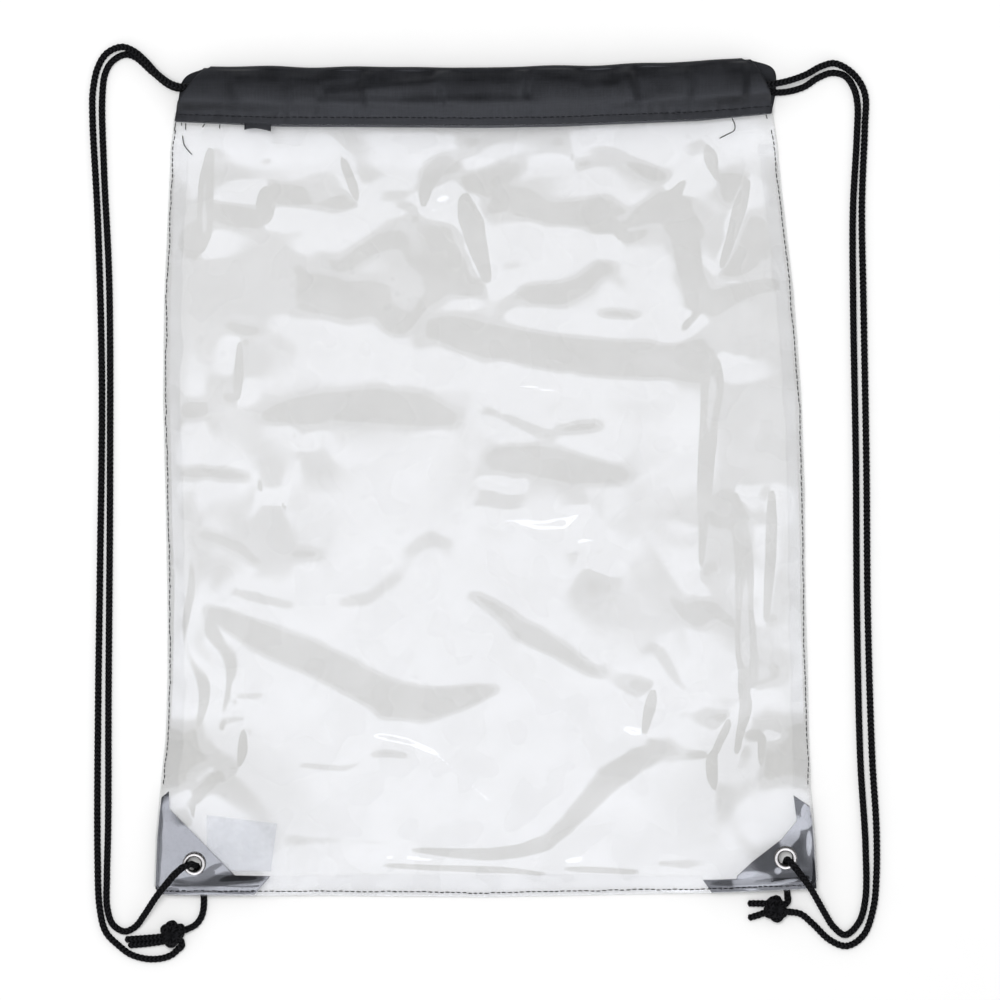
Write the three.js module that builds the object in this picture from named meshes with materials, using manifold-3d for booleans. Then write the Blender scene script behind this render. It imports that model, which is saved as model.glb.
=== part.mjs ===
// A clear drawstring backpack that lies on its back, mouth towards +Y and front panel up.
// Millimetres, +Z up. The origin is on the surface under the middle of the bag.
import * as THREE from "three";
import { mergeVertices } from "three/addons/utils/BufferGeometryUtils.js";
import Module from "manifold-3d";

const wasm = await Module();
wasm.setup();

// Sheet goods: wall of the clear sheet and the cloth, and the space between neighbouring pieces.
const SHEET = 1;
const GAP = 0.3;
const LAYER = SHEET + GAP;

// The bag: how far the front panel stands over the back one, and how high the cord lifts a corner.
const BODY_RISE = 13;
const CORNER_LIFT = 5.3;
const CORNER_FLAT_RADIUS = 20;
const CORNER_END_RADIUS = 52;
const PANEL_COLUMNS = 18;
const PANEL_ROWS = 24;
const GRID_CROWDING = 0.6;

// How the front panel leaves its seams, as shares of the bag's width and height.
const DOME_POWER = 2.5;
const BOTTOM_SLOPE = 0.3;
const SIDE_SLOPE = 0.16;
const FOLDS_START = 0.03;
const FOLDS_FULL = 0.2;
const MOUTH_SLOPE_START = 0.86;
const TUCK_START = 0.93;
const TUCK_END = 0.985;

// The casing: a folded strip whose tunnel holds two runs of cord side by side.
const TUNNEL_HEIGHT = 4.3;
const TUNNEL_ROOF = TUNNEL_HEIGHT + SHEET;
const TUNNEL_OUTSIDE = TUNNEL_ROOF + SHEET;
const HEM_SHARE = 0.17;
const TUNNEL_SHARE = 0.38;
const CASING_TUCK = 4.3;
const CASING_COLUMNS = 14;
const MOUTH_MIDDLE_Z = 16;
const MOUTH_END_Z = 8;
const MOUTH_SEAM_Z = 3 * LAYER;
const INNER_PLY_LEFT = -134;
const INNER_PLY_RIGHT = 120;
const FOLD_PULL = 0.3;
const MOUTH_LEFT = -160;
const MOUTH_RIGHT = 147;

// The cords, eyelets and knots.
const CORD_DIAMETER = 3.4;
const CORD_SIDES = 8;
const CORD_STEPS_PER_POINT = 1.4;
const LANE = 2.1;
const RUN_SHARE = 0.57;
const RUN_STEPS = 5;
const TURN_LEAD = 7;
const TURN_SHARES = [0.25, 0.5, 0.75];
const EYELET_BORE_RADIUS = 3.7;
const EYELET_BARREL_RADIUS = 4.3;
const EYELET_FLANGE_RADIUS = 5.7;
const EYELET_TOP_FLANGE = 0.9;
const EYELET_BACK_FLANGE = 0.7;
const EYELET_BACK_BEVEL = 0.3;
const EYELET_RIM_BEVEL = 0.5;
const EYELET_RIM_DROP = 0.2;
const EYELET_BORE_DROP = 0.4;
const EYELET_SIDES = 18;
const EYELETS = { left: { x: -149.8, y: -198 }, right: { x: 153.8, y: -195 } };

// Seam allowances, as wide as they show through the front panel.
const SEAM_WIDTH = 9;
const SEAM_INSET = 0.6;
const SIDE_SEAM_LOW = -159.5;
const SIDE_SEAM_HIGH = 172;

// Cutters reach this far, half of it over the surface and half under it.
const CUTTER_HEIGHT = 60;
const WELD_DISTANCE = 1e-4;

// Side edges of the bag, row by row from the bottom seam to the casing.
const EDGES = [
  { y: -216, left: -165, right: 165.5 },
  { y: -211, left: -170.5, right: 170.5 },
  { y: -186, left: -169.6, right: 169 },
  { y: -163, left: -167.6, right: 167 },
  { y: -135, left: -165, right: 166.4 },
  { y: -104, left: -164, right: 165.7 },
  { y: -63, left: -164, right: 164.5 },
  { y: -11, left: -165, right: 164.2 },
  { y: 40, left: -166.3, right: 162.3 },
  { y: 91, left: -165.8, right: 158.5 },
  { y: 143, left: -163.5, right: 152.5 },
  { y: 168, left: -162.4, right: 150 },
  { y: 188, left: -160, right: 147 },
];

// The bottom seam's line.
const BOTTOM = [
  { x: -166, y: -214.5 },
  { x: 0, y: -216 },
  { x: 105, y: -214 },
  { x: 166, y: -211.5 },
];

// The casing's lower edge and its fold.
const CASING = [
  { x: -160, low: 183.5, high: 211.5 },
  { x: -106, low: 181, high: 211 },
  { x: 0, low: 180.4, high: 210 },
  { x: 38, low: 181, high: 211 },
  { x: 110, low: 184, high: 214 },
  { x: 136, low: 186.6, high: 216 },
  { x: 150, low: 188, high: 216 },
];

// Where each casing's outer ply ends, by its share of the casing's height.
const CASING_ENDS = [
  { share: 0, frontLeft: -160, frontRight: 147, backLeft: -160, backRight: 147 },
  { share: 0.4, frontLeft: -158, frontRight: 146, backLeft: -158.5, backRight: 149.5 },
  { share: 0.7, frontLeft: -151, frontRight: 141, backLeft: -159, backRight: 151.5 },
  { share: 1, frontLeft: -144, frontRight: 136, backLeft: -150, backRight: 143 },
];

// Section of a casing from the flat ply's lower edge over the fold to the bulged ply's lower edge:
// share of the height and distance from the flat ply's face, for the outside and the tunnel side.
const SECTION = [
  { ply: "flat", outShare: 0, out: 0, inShare: 0, in: 1 },
  { ply: "flat", outShare: HEM_SHARE, out: 0, inShare: HEM_SHARE, in: 1 },
  { ply: "flat", outShare: TUNNEL_SHARE, out: 0, inShare: TUNNEL_SHARE, in: 1 },
  { ply: "flat", outShare: 0.76, out: 0, inShare: 0.76, in: 1 },
  { ply: "flat", outShare: 0.9, out: 0, inShare: 0.9, in: 1 },
  { ply: "fold", outShare: 0.97, out: 0.6, inShare: 0.93, in: 1.3 },
  { ply: "fold", outShare: 1, out: 1.8, inShare: 0.955, in: 1.8 },
  { ply: "fold", outShare: 0.97, out: 3, inShare: 0.93, in: 2.3 },
  { ply: "bulged", outShare: 0.9, out: 3.8, inShare: 0.9, in: 2.8 },
  { ply: "bulged", outShare: 0.76, out: TUNNEL_OUTSIDE, inShare: 0.76, in: TUNNEL_ROOF },
  { ply: "bulged", outShare: TUNNEL_SHARE, out: TUNNEL_OUTSIDE, inShare: TUNNEL_SHARE, in: TUNNEL_ROOF },
  { ply: "bulged", outShare: HEM_SHARE, out: 3.6, inShare: HEM_SHARE, in: 2.6 },
  { ply: "bulged", outShare: 0, out: 3.6, inShare: 0, in: 2.6 },
];

// Main folds of the front panel: a line, its half width and how far it rises or sinks.
const FOLDS = [
  { fromX: -144, fromY: -65, toX: -24, toY: -122, width: 15, rise: -3 },
  { fromX: -140, fromY: -40, toX: -10, toY: -88, width: 18, rise: 2 },
  { fromX: -96, fromY: 78, toX: 118, toY: 70, width: 16, rise: -3 },
  { fromX: -60, fromY: 48, toX: 90, toY: 44, width: 16, rise: 2.5 },
  { fromX: -116, fromY: 32, toX: -29, toY: 30, width: 13, rise: -2 },
  { fromX: 0, fromY: 5, toX: 74, toY: 6, width: 12, rise: -2 },
  { fromX: -5, fromY: 161, toX: 3, toY: 92, width: 16, rise: -2.5 },
  { fromX: 59, fromY: 169, toX: 120, toY: 76, width: 18, rise: -2.5 },
  { fromX: -70, fromY: 165, toX: -60, toY: 130, width: 13, rise: 2 },
  { fromX: 105, fromY: -88, toX: 30, toY: -185, width: 15, rise: -2.5 },
  { fromX: 128, fromY: 20, toX: 124, toY: -90, width: 12, rise: 1.5 },
];

// Outlines inside the bag, seen from above.
const LEFT_PATCH = [
  { x: -175, y: -161 },
  { x: -163, y: -161 },
  { x: -162.6, y: -170 },
  { x: -129, y: -204.5 },
  { x: -110.5, y: -203.5 },
  { x: -119, y: -220 },
  { x: -175, y: -220 },
];
const RIGHT_PATCH = [
  { x: 175, y: -168 },
  { x: 158, y: -162.5 },
  { x: 159.7, y: -176 },
  { x: 152, y: -185.5 },
  { x: 136.5, y: -197.5 },
  { x: 129, y: -204.5 },
  { x: 111.5, y: -206.5 },
  { x: 117, y: -220 },
  { x: 175, y: -220 },
];
const LABEL = [
  { x: -143.4, y: -173.2 },
  { x: -107.4, y: -177.6 },
  { x: -111, y: -202 },
  { x: -130.8, y: -202 },
  { x: -143.4, y: -189 },
];
const BOTTOM_SEAM = [
  { x: -110, y: -204 },
  { x: 110.7, y: -204 },
  { x: 110.9, y: -206.5 },
  { x: 116.4, y: -220 },
  { x: -118.3, y: -220 },
];

// The cords' strands outside the casings: x, y, z of the centre line. The outer one goes from the
// knot up to the front casing, the inner one from the rear casing down, over the corner, through the
// eyelet and back to the knot.
const LEFT_OUTER = [
  [-156.5, -240.4, 2.4],
  [-162.6, -245.9, 1.9],
  [-172.2, -247.7, 1.9],
  [-182.3, -245.5, 1.9],
  [-189.2, -240.6, 1.9],
  [-195.8, -233.6, 1.9],
  [-198.9, -221.5, 1.9],
  [-200, -196, 1.9],
  [-199.7, -114, 1.9],
  [-198.8, -50, 1.9],
  [-197.8, 50, 1.9],
  [-199.9, 132.6, 1.9],
  [-202.6, 185, 1.9],
  [-202.4, 199.4, 1.9],
  [-199.8, 211.6, 1.9],
  [-195.1, 218.8, 2.2],
  [-187.4, 221.8, 3.8],
  [-180.6, 219.2, 5.6],
  [-174.8, 214.1, 7],
  [-167.8, 206.6, 9],
  [-158.8, 201.2, 11],
];
const LEFT_INNER = [
  [-160.4, 201, 2.9],
  [-171.2, 208.6, 1.9],
  [-180.6, 216.7, 1.9],
  [-186, 218, 1.9],
  [-192.3, 214.6, 1.9],
  [-196, 208.5, 1.9],
  [-197.6, 196, 1.9],
  [-196.7, 158.8, 1.9],
  [-194, 100, 1.9],
  [-193.6, 0, 1.9],
  [-194.4, -114, 1.9],
  [-194.6, -179, 1.9],
  [-195.2, -204.6, 1.9],
  [-195, -221.5, 1.9],
  [-192, -230, 1.9],
  [-186.1, -233.4, 1.9],
  [-180.6, -231, 2.4],
  [-175.5, -224.4, 6.4],
  [-170.6, -217, 10.8],
  [-166, -210.7, 11.6],
  [-159.5, -203.2, 11.8],
  [-154.3, -199.7, 12.9],
  [-150.6, -198.2, 10.6],
  [-149.9, -198, 6.5],
  [-149.4, -199.1, 3.2],
  [-148.4, -202.8, 1.95],
  [-146.9, -208.5, 2],
  [-145.3, -215.4, 1.9],
  [-146.2, -225, 1.9],
  [-149.6, -230, 2.2],
  [-155, -232.6, 3.5],
];
const RIGHT_OUTER = [
  [155.2, -223.1, 3.1],
  [161.9, -224.4, 1.9],
  [167.9, -229.2, 1.9],
  [177.3, -238, 1.9],
  [185.8, -240.9, 1.9],
  [194.3, -235.4, 1.9],
  [199.4, -221.5, 1.9],
  [201, -204.6, 1.9],
  [201, -180.9, 1.9],
  [198.8, -144, 1.9],
  [196.6, -73, 1.9],
  [195.8, 9.3, 1.9],
  [194.3, 91.5, 1.9],
  [193.5, 140, 1.9],
  [195, 180, 1.9],
  [195.2, 197.1, 1.9],
  [191.7, 205, 1.9],
  [185.8, 210.7, 2.2],
  [178.9, 213.4, 3.6],
  [172.2, 211.6, 5.4],
  [163.5, 206.8, 8],
  [151.1, 202.8, 10.6],
];
const RIGHT_INNER = [
  [149.6, 198.4, 3],
  [162.8, 201, 1.9],
  [171.2, 206.2, 1.9],
  [178.2, 208.6, 1.9],
  [184.9, 206.9, 1.9],
  [189.2, 201, 1.9],
  [191.2, 192.8, 1.9],
  [190.9, 176, 1.9],
  [188.9, 137.8, 1.9],
  [189, 90, 1.9],
  [190.4, 9.3, 1.9],
  [191, -73, 1.9],
  [192.7, -145, 1.9],
  [195.4, -190, 1.9],
  [195.2, -217.4, 1.9],
  [191.7, -229.2, 1.9],
  [184.9, -235.2, 1.9],
  [178.9, -231, 2.4],
  [174.3, -224, 6.6],
  [170.4, -217.2, 10.8],
  [166.5, -210.5, 11.6],
  [160, -201.5, 11.8],
  [157.2, -198.2, 12.9],
  [154.5, -195.6, 10.6],
  [153.8, -195.1, 6.5],
  [153.7, -196.1, 3.2],
  [153.9, -199.9, 1.95],
  [154.3, -205.5, 2],
  [155, -212.5, 1.9],
  [155.3, -217.9, 2.8],
];

// The cords' way through the casings: where it begins and where it turns back, and its lane.
const CORDS = {
  left: { outer: LEFT_OUTER, inner: LEFT_INNER, fromX: -142, turnX: 121, lane: LANE },
  right: { outer: RIGHT_OUTER, inner: RIGHT_INNER, fromX: 137, turnX: -135, lane: -LANE },
};

// The knots: where each lies, how it is turned, and its tails' routes.
const KNOT_RINGS = [
  { radius: 3.5, tilt: 32, turn: 20, x: -0.5, y: 1.6 },
  { radius: 3.5, tilt: 36, turn: 140, x: 0.6, y: -1.4 },
  { radius: 3.3, tilt: -30, turn: 80, x: 0, y: 0 },
];
const KNOT_ROPE_RADIUS = 1.9;
const KNOT_SIDES = 6;
const KNOT_STEPS = 10;
const KNOT_CORE_RADIUS = 3.6;
const KNOT_HEIGHT = 4.6;
const KNOTS = {
  left: {
    x: -161.9,
    y: -234.6,
    tails: [
      [[-162, -237.5, 3.2], [-168, -238.8, 2.4], [-176, -239.8, 1.9], [-183.2, -240.2, 1.9]],
      [[-162, -234.5, 4], [-168, -235.6, 3.2], [-175, -236.3, 2.2], [-182, -236.9, 1.9]],
    ],
  },
  right: {
    x: 149,
    y: -221.4,
    tails: [
      [[149, -219.5, 4], [144, -219, 3], [139, -219, 2], [134.6, -219, 1.9]],
      [[149, -223, 4], [144, -223.6, 3], [139, -225.4, 2], [134.8, -226.6, 1.9]],
    ],
  },
};

// Colours and finish of each kind of piece.
const FINISH = {
  clearSheet: { color: 0xe4e8ea, roughness: 0.1, metalness: 0, transparent: true, opacity: 0.25 },
  cloth: { color: 0x34363a, roughness: 0.75, metalness: 0 },
  cord: { color: 0x121214, roughness: 0.9, metalness: 0 },
  eyelet: { color: 0xd2cfc8, roughness: 0.25, metalness: 1 },
  label: { color: 0xdee2ea, roughness: 0.85, metalness: 0 },
};

function smooth(from, to, value) {
  return THREE.MathUtils.smoothstep(value, from, to);
}

// A column of a table at a value of its key column, straight between rows.
function lookup(table, key, column, value) {
  const last = table.length - 1;
  let row = 1;
  while (row < last && table[row][key] < value) row += 1;
  const below = table[row - 1];
  const above = table[row];
  const share = THREE.MathUtils.clamp((value - below[key]) / (above[key] - below[key]), 0, 1);
  return THREE.MathUtils.lerp(below[column], above[column], share);
}

// Grid line i of n, closer together towards both ends.
function crowded(i, n) {
  const even = i / n;
  const round = (1 - Math.cos(Math.PI * even)) / 2;
  return THREE.MathUtils.lerp(even, round, GRID_CROWDING);
}

// 1 on the flat part of a lifted corner, 0 on the rest of the bag.
function cornerShare(x, y) {
  const shares = Object.values(EYELETS).map(
    (eyelet) =>
      1 - smooth(CORNER_FLAT_RADIUS, CORNER_END_RADIUS, Math.hypot(x - eyelet.x, y - eyelet.y)),
  );
  return Math.max(...shares);
}

// How open the mouth is along its width: 0 at the side seams, 1 in the middle.
function mouthShare(x) {
  const across = (2 * (x - MOUTH_LEFT)) / (MOUTH_RIGHT - MOUTH_LEFT) - 1;
  return 1 - Math.min(1, Math.abs(across) ** DOME_POWER);
}

// Height of the front casing's flat ply: at the side seams its lower edge lies on the rear casing.
function frontCasingZ(x, share) {
  const edge = THREE.MathUtils.lerp(MOUTH_SEAM_Z, MOUTH_MIDDLE_Z, mouthShare(x));
  const tunnel = THREE.MathUtils.lerp(MOUTH_END_Z, MOUTH_MIDDLE_Z, mouthShare(x));
  return THREE.MathUtils.lerp(edge, tunnel, smooth(HEM_SHARE, TUNNEL_SHARE, share));
}

function foldsAt(x, y) {
  let height = 0;
  for (const fold of FOLDS) {
    const line = new THREE.Line3(
      new THREE.Vector3(fold.fromX, fold.fromY, 0),
      new THREE.Vector3(fold.toX, fold.toY, 0),
    );
    const spot = new THREE.Vector3(x, y, 0);
    const near = line.closestPointToPoint(spot, true, new THREE.Vector3());
    height += fold.rise * Math.exp(-((near.distanceTo(spot) / fold.width) ** 2));
  }
  return height;
}

// Underside of the rear panel: on the surface, over the cord at the corners, into the casing.
function backZ(x, y, along) {
  return CORNER_LIFT * cornerShare(x, y) + LAYER * smooth(TUCK_START, TUCK_END, along);
}

// Underside of the front panel: it leaves the seams, domes over the bag and enters its casing.
function frontZ(x, y, across, along) {
  const seam = backZ(x, y, along) + 2 * LAYER;
  const dome = (1 - Math.abs(2 * across - 1) ** DOME_POWER) * smooth(0, BOTTOM_SLOPE, along);
  const fromSides = smooth(0, SIDE_SLOPE, Math.min(across, 1 - across));
  const inside = fromSides * smooth(FOLDS_START, FOLDS_FULL, along);
  const puffed = (BODY_RISE * dome + foldsAt(x, y) * inside) * (1 - cornerShare(x, y));
  const casing = frontCasingZ(x, 0) + LAYER;
  return THREE.MathUtils.lerp(seam + puffed, casing, smooth(MOUTH_SLOPE_START, TUCK_END, along));
}

// Grid of the bag seen from above: rows from the bottom seam to the tucked upper edge.
function panelGrid() {
  const rows = [];
  for (let i = 0; i <= PANEL_ROWS; i += 1) {
    const along = crowded(i, PANEL_ROWS);
    const level = THREE.MathUtils.lerp(EDGES[0].y, EDGES[EDGES.length - 1].y, along);
    const left = lookup(EDGES, "y", "left", level);
    const right = lookup(EDGES, "y", "right", level);
    const row = [];
    for (let j = 0; j <= PANEL_COLUMNS; j += 1) {
      const across = crowded(j, PANEL_COLUMNS);
      const x = THREE.MathUtils.lerp(left, right, across);
      const bottom = lookup(BOTTOM, "x", "y", x);
      const top = lookup(CASING, "x", "low", x) + CASING_TUCK;
      row.push({ x, y: THREE.MathUtils.lerp(bottom, top, along), across, along });
    }
    rows.push(row);
  }
  return rows;
}

// A closed body between two skins, each a grid of points; the upper skin faces up.
function closedSheet(lower, upper) {
  const rows = lower.length;
  const columns = lower[0].length;
  const skin = rows * columns;
  const positions = [...lower.flat(), ...upper.flat()].flatMap((point) => point.toArray());
  const index = [];
  const quad = (a, b, c, d) => index.push(a, b, c, a, c, d);
  for (let i = 0; i < rows - 1; i += 1) {
    for (let j = 0; j < columns - 1; j += 1) {
      const a = i * columns + j;
      const c = a + columns + 1;
      quad(skin + a, skin + a + 1, skin + c, skin + c - 1);
      quad(a, c - 1, c, a + 1);
    }
    const left = i * columns;
    const right = left + columns - 1;
    quad(left, skin + left, skin + left + columns, left + columns);
    quad(right, right + columns, skin + right + columns, skin + right);
  }
  for (let j = 0; j < columns - 1; j += 1) {
    const far = (rows - 1) * columns + j;
    quad(j, j + 1, skin + j + 1, skin + j);
    quad(far, skin + far, skin + far + 1, far + 1);
  }
  const geometry = new THREE.BufferGeometry();
  geometry.setAttribute("position", new THREE.Float32BufferAttribute(positions, 3));
  geometry.setIndex(index);
  return geometry;
}

// A sheet over the panel grid whose underside is at the given height.
function sheetOver(grid, undersideZ) {
  const at = (spot, lift) =>
    new THREE.Vector3(spot.x, spot.y, undersideZ(spot.x, spot.y, spot.across, spot.along) + lift);
  const lower = grid.map((row) => row.map((spot) => at(spot, 0)));
  const upper = grid.map((row) => row.map((spot) => at(spot, SHEET)));
  return closedSheet(lower, upper);
}

function toSolid(geometry) {
  const bare = geometry.clone();
  bare.deleteAttribute("normal");
  bare.deleteAttribute("uv");
  const merged = mergeVertices(bare, WELD_DISTANCE);
  return new wasm.Manifold(
    new wasm.Mesh({
      numProp: 3,
      vertProperties: new Float32Array(merged.attributes.position.array),
      triVerts: new Uint32Array(merged.index.array),
    }),
  );
}

function toGeometry(solid) {
  const mesh = solid.getMesh();
  const geometry = new THREE.BufferGeometry();
  geometry.setAttribute("position", new THREE.BufferAttribute(mesh.vertProperties, 3));
  geometry.setIndex(new THREE.BufferAttribute(mesh.triVerts, 1));
  return geometry;
}

// An upright block over an outline, taller than the bag.
function blockOver(outline) {
  const shape = new THREE.Shape(outline.map((corner) => new THREE.Vector2(corner.x, corner.y)));
  const block = new THREE.ExtrudeGeometry(shape, { depth: CUTTER_HEIGHT, bevelEnabled: false });
  return block.translate(0, 0, -CUTTER_HEIGHT / 2);
}

// The part of a sheet inside an outline.
function trimmed(sheet, outline) {
  return toGeometry(toSolid(sheet).intersect(toSolid(blockOver(outline))));
}

// A sheet punched for the eyelets' barrels.
function punched(sheet, eyelets) {
  let solid = toSolid(sheet);
  for (const eyelet of eyelets) {
    const punch = new THREE.CylinderGeometry(
      EYELET_BARREL_RADIUS + GAP,
      EYELET_BARREL_RADIUS + GAP,
      CUTTER_HEIGHT,
      EYELET_SIDES,
    );
    punch.rotateX(Math.PI / 2).translate(eyelet.x, eyelet.y, 0);
    solid = solid.subtract(toSolid(punch));
  }
  return toGeometry(solid);
}

// A strip along a side edge, as wide as the seam allowance.
function sideSeamOutline(side, inward) {
  const levels = EDGES.filter((row) => row.y > SIDE_SEAM_LOW && row.y < SIDE_SEAM_HIGH);
  const heights = [SIDE_SEAM_LOW, ...levels.map((row) => row.y), SIDE_SEAM_HIGH];
  const edge = heights.map((y) => ({ x: lookup(EDGES, "y", side, y), y }));
  const outer = edge.map((spot) => ({ x: spot.x + inward * SEAM_INSET, y: spot.y }));
  const inner = edge.map((spot) => ({ x: spot.x + inward * SEAM_WIDTH, y: spot.y }));
  return [...outer, ...inner.reverse()];
}

// A casing: a strip of cloth folded over the sheet's edge. Its inner ply stops short of the ends.
function casing(side, innerPly, flatPlyZ) {
  const limits = (row) => {
    const left = lookup(CASING_ENDS, "share", `${side}Left`, row.outShare);
    const right = lookup(CASING_ENDS, "share", `${side}Right`, row.outShare);
    if (row.ply === innerPly) return [INNER_PLY_LEFT, INNER_PLY_RIGHT];
    if (row.ply !== "fold") return [left, right];
    return [
      THREE.MathUtils.lerp(left, INNER_PLY_LEFT, FOLD_PULL),
      THREE.MathUtils.lerp(right, INNER_PLY_RIGHT, FOLD_PULL),
    ];
  };
  const skin = (shareKey, offsetKey) =>
    SECTION.map((row) => {
      const [left, right] = limits(row);
      const points = [];
      for (let j = 0; j <= CASING_COLUMNS; j += 1) {
        const x = THREE.MathUtils.lerp(left, right, j / CASING_COLUMNS);
        const low = lookup(CASING, "x", "low", x);
        const high = lookup(CASING, "x", "high", x);
        const y = THREE.MathUtils.lerp(low, high, row[shareKey]);
        points.push(new THREE.Vector3(x, y, flatPlyZ(x, row[shareKey]) + row[offsetKey]));
      }
      return points;
    });
  return closedSheet(skin("outShare", "out"), skin("inShare", "in"));
}

// A curve whose even steps are shared out between its points, so they lie closest at the bends.
class CordRoute extends THREE.CatmullRomCurve3 {
  getUtoTmapping(u) {
    return u;
  }
}

// A drawcord's way through the front casing, round the far end and back through the rear casing.
function casingRun({ fromX, turnX, lane }) {
  const middle = SHEET + TUNNEL_HEIGHT / 2;
  const at = (x, z) => {
    const low = lookup(CASING, "x", "low", x);
    const high = lookup(CASING, "x", "high", x);
    return [x, THREE.MathUtils.lerp(low, high, RUN_SHARE) + lane, z];
  };
  const away = Math.sign(turnX);
  const straightX = turnX - away * TURN_LEAD;
  const stations = [turnX];
  for (let i = 0; i <= RUN_STEPS; i += 1) {
    stations.unshift(THREE.MathUtils.lerp(straightX, fromX, i / RUN_STEPS));
  }
  const front = stations.map((x) => at(x, frontCasingZ(x, RUN_SHARE) + middle));
  const back = stations.map((x) => at(x, middle)).reverse();
  const radius = (front[front.length - 1][2] - middle) / 2;
  const turn = TURN_SHARES.map((share) => [
    turnX + away * radius * Math.sin(Math.PI * share),
    back[0][1],
    middle + radius * (1 + Math.cos(Math.PI * share)),
  ]);
  return [...front, ...turn, ...back];
}

// A round cord along a list of points.
function cord(points) {
  const route = new CordRoute(
    points.map((point) => new THREE.Vector3(...point)),
    false,
    "centripetal",
  );
  const corners = [];
  for (let i = 0; i < CORD_SIDES; i += 1) {
    const angle = (2 * Math.PI * i) / CORD_SIDES;
    corners.push(new THREE.Vector2(Math.cos(angle), Math.sin(angle)).multiplyScalar(CORD_DIAMETER / 2));
  }
  return new THREE.ExtrudeGeometry(new THREE.Shape(corners), {
    steps: Math.round(CORD_STEPS_PER_POINT * (points.length - 1)),
    extrudePath: route,
    bevelEnabled: false,
  });
}

// An eyelet: a barrel through the corner's layers with a flange rolled over on each side.
function eyelet({ x, y }) {
  const seat = CORNER_LIFT;
  const bottom = seat - GAP - EYELET_BACK_FLANGE;
  const head = seat + 3 * LAYER;
  const top = head + EYELET_TOP_FLANGE;
  const profile = [
    [EYELET_BORE_RADIUS, bottom],
    [EYELET_FLANGE_RADIUS - EYELET_BACK_BEVEL, bottom],
    [EYELET_FLANGE_RADIUS, seat - GAP],
    [EYELET_BARREL_RADIUS, seat - GAP],
    [EYELET_BARREL_RADIUS, head],
    [EYELET_FLANGE_RADIUS, head],
    [EYELET_FLANGE_RADIUS - EYELET_RIM_BEVEL, top - EYELET_RIM_DROP],
    [(EYELET_FLANGE_RADIUS + EYELET_BORE_RADIUS) / 2, top],
    [EYELET_BORE_RADIUS, top - EYELET_BORE_DROP],
    [EYELET_BORE_RADIUS, bottom],
  ];
  const ring = new THREE.LatheGeometry(
    profile.map(([radius, height]) => new THREE.Vector2(radius, height)),
    EYELET_SIDES,
  );
  return ring.rotateX(Math.PI / 2).translate(x, y, 0);
}

// An overhand knot: rings of cord round a core, with both tails.
function knot({ x, y, tails }) {
  const core = new THREE.SphereGeometry(KNOT_CORE_RADIUS, KNOT_SIDES, KNOT_SIDES);
  let solid = toSolid(core.translate(x, y, KNOT_HEIGHT));
  for (const ring of KNOT_RINGS) {
    const turn = new THREE.TorusGeometry(ring.radius, KNOT_ROPE_RADIUS, KNOT_SIDES, KNOT_STEPS);
    turn.rotateX(THREE.MathUtils.degToRad(ring.tilt));
    turn.rotateZ(THREE.MathUtils.degToRad(ring.turn));
    turn.translate(x + ring.x, y + ring.y, KNOT_HEIGHT);
    solid = solid.add(toSolid(turn));
  }
  for (const tail of tails) {
    solid = solid.add(toSolid(cord(tail)));
  }
  return toGeometry(solid);
}

const backpack = new THREE.Group();
backpack.name = "drawstring_backpack";

function addPiece(name, geometry, finish) {
  const mesh = new THREE.Mesh(geometry, new THREE.MeshStandardMaterial(FINISH[finish]));
  mesh.name = name;
  backpack.add(mesh);
}

const grid = panelGrid();
const bothEyelets = Object.values(EYELETS);
const backSheet = sheetOver(grid, (x, y, across, along) => backZ(x, y, along));
const innerLayer = sheetOver(grid, (x, y, across, along) => backZ(x, y, along) + LAYER);
addPiece("back_panel", punched(backSheet, bothEyelets), "clearSheet");
addPiece("front_panel", punched(sheetOver(grid, frontZ), bothEyelets), "clearSheet");
addPiece("left_seam", trimmed(innerLayer, sideSeamOutline("left", 1)), "clearSheet");
addPiece("right_seam", trimmed(innerLayer, sideSeamOutline("right", -1)), "clearSheet");
addPiece("bottom_seam", trimmed(innerLayer, BOTTOM_SEAM), "clearSheet");
addPiece("label", trimmed(innerLayer, LABEL), "label");
addPiece("left_corner_patch", punched(trimmed(innerLayer, LEFT_PATCH), [EYELETS.left]), "cloth");
addPiece("right_corner_patch", punched(trimmed(innerLayer, RIGHT_PATCH), [EYELETS.right]), "cloth");
addPiece("back_casing", casing("back", "bulged", () => 0), "cloth");
addPiece("front_casing", casing("front", "flat", frontCasingZ), "cloth");
for (const side of ["left", "right"]) {
  const { outer, inner } = CORDS[side];
  addPiece(`${side}_cord`, cord([...outer, ...casingRun(CORDS[side]), ...inner]), "cord");
  addPiece(`${side}_eyelet`, eyelet(EYELETS[side]), "eyelet");
  addPiece(`${side}_knot`, knot(KNOTS[side]), "cord");
}

export default backpack;
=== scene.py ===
import math

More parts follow.
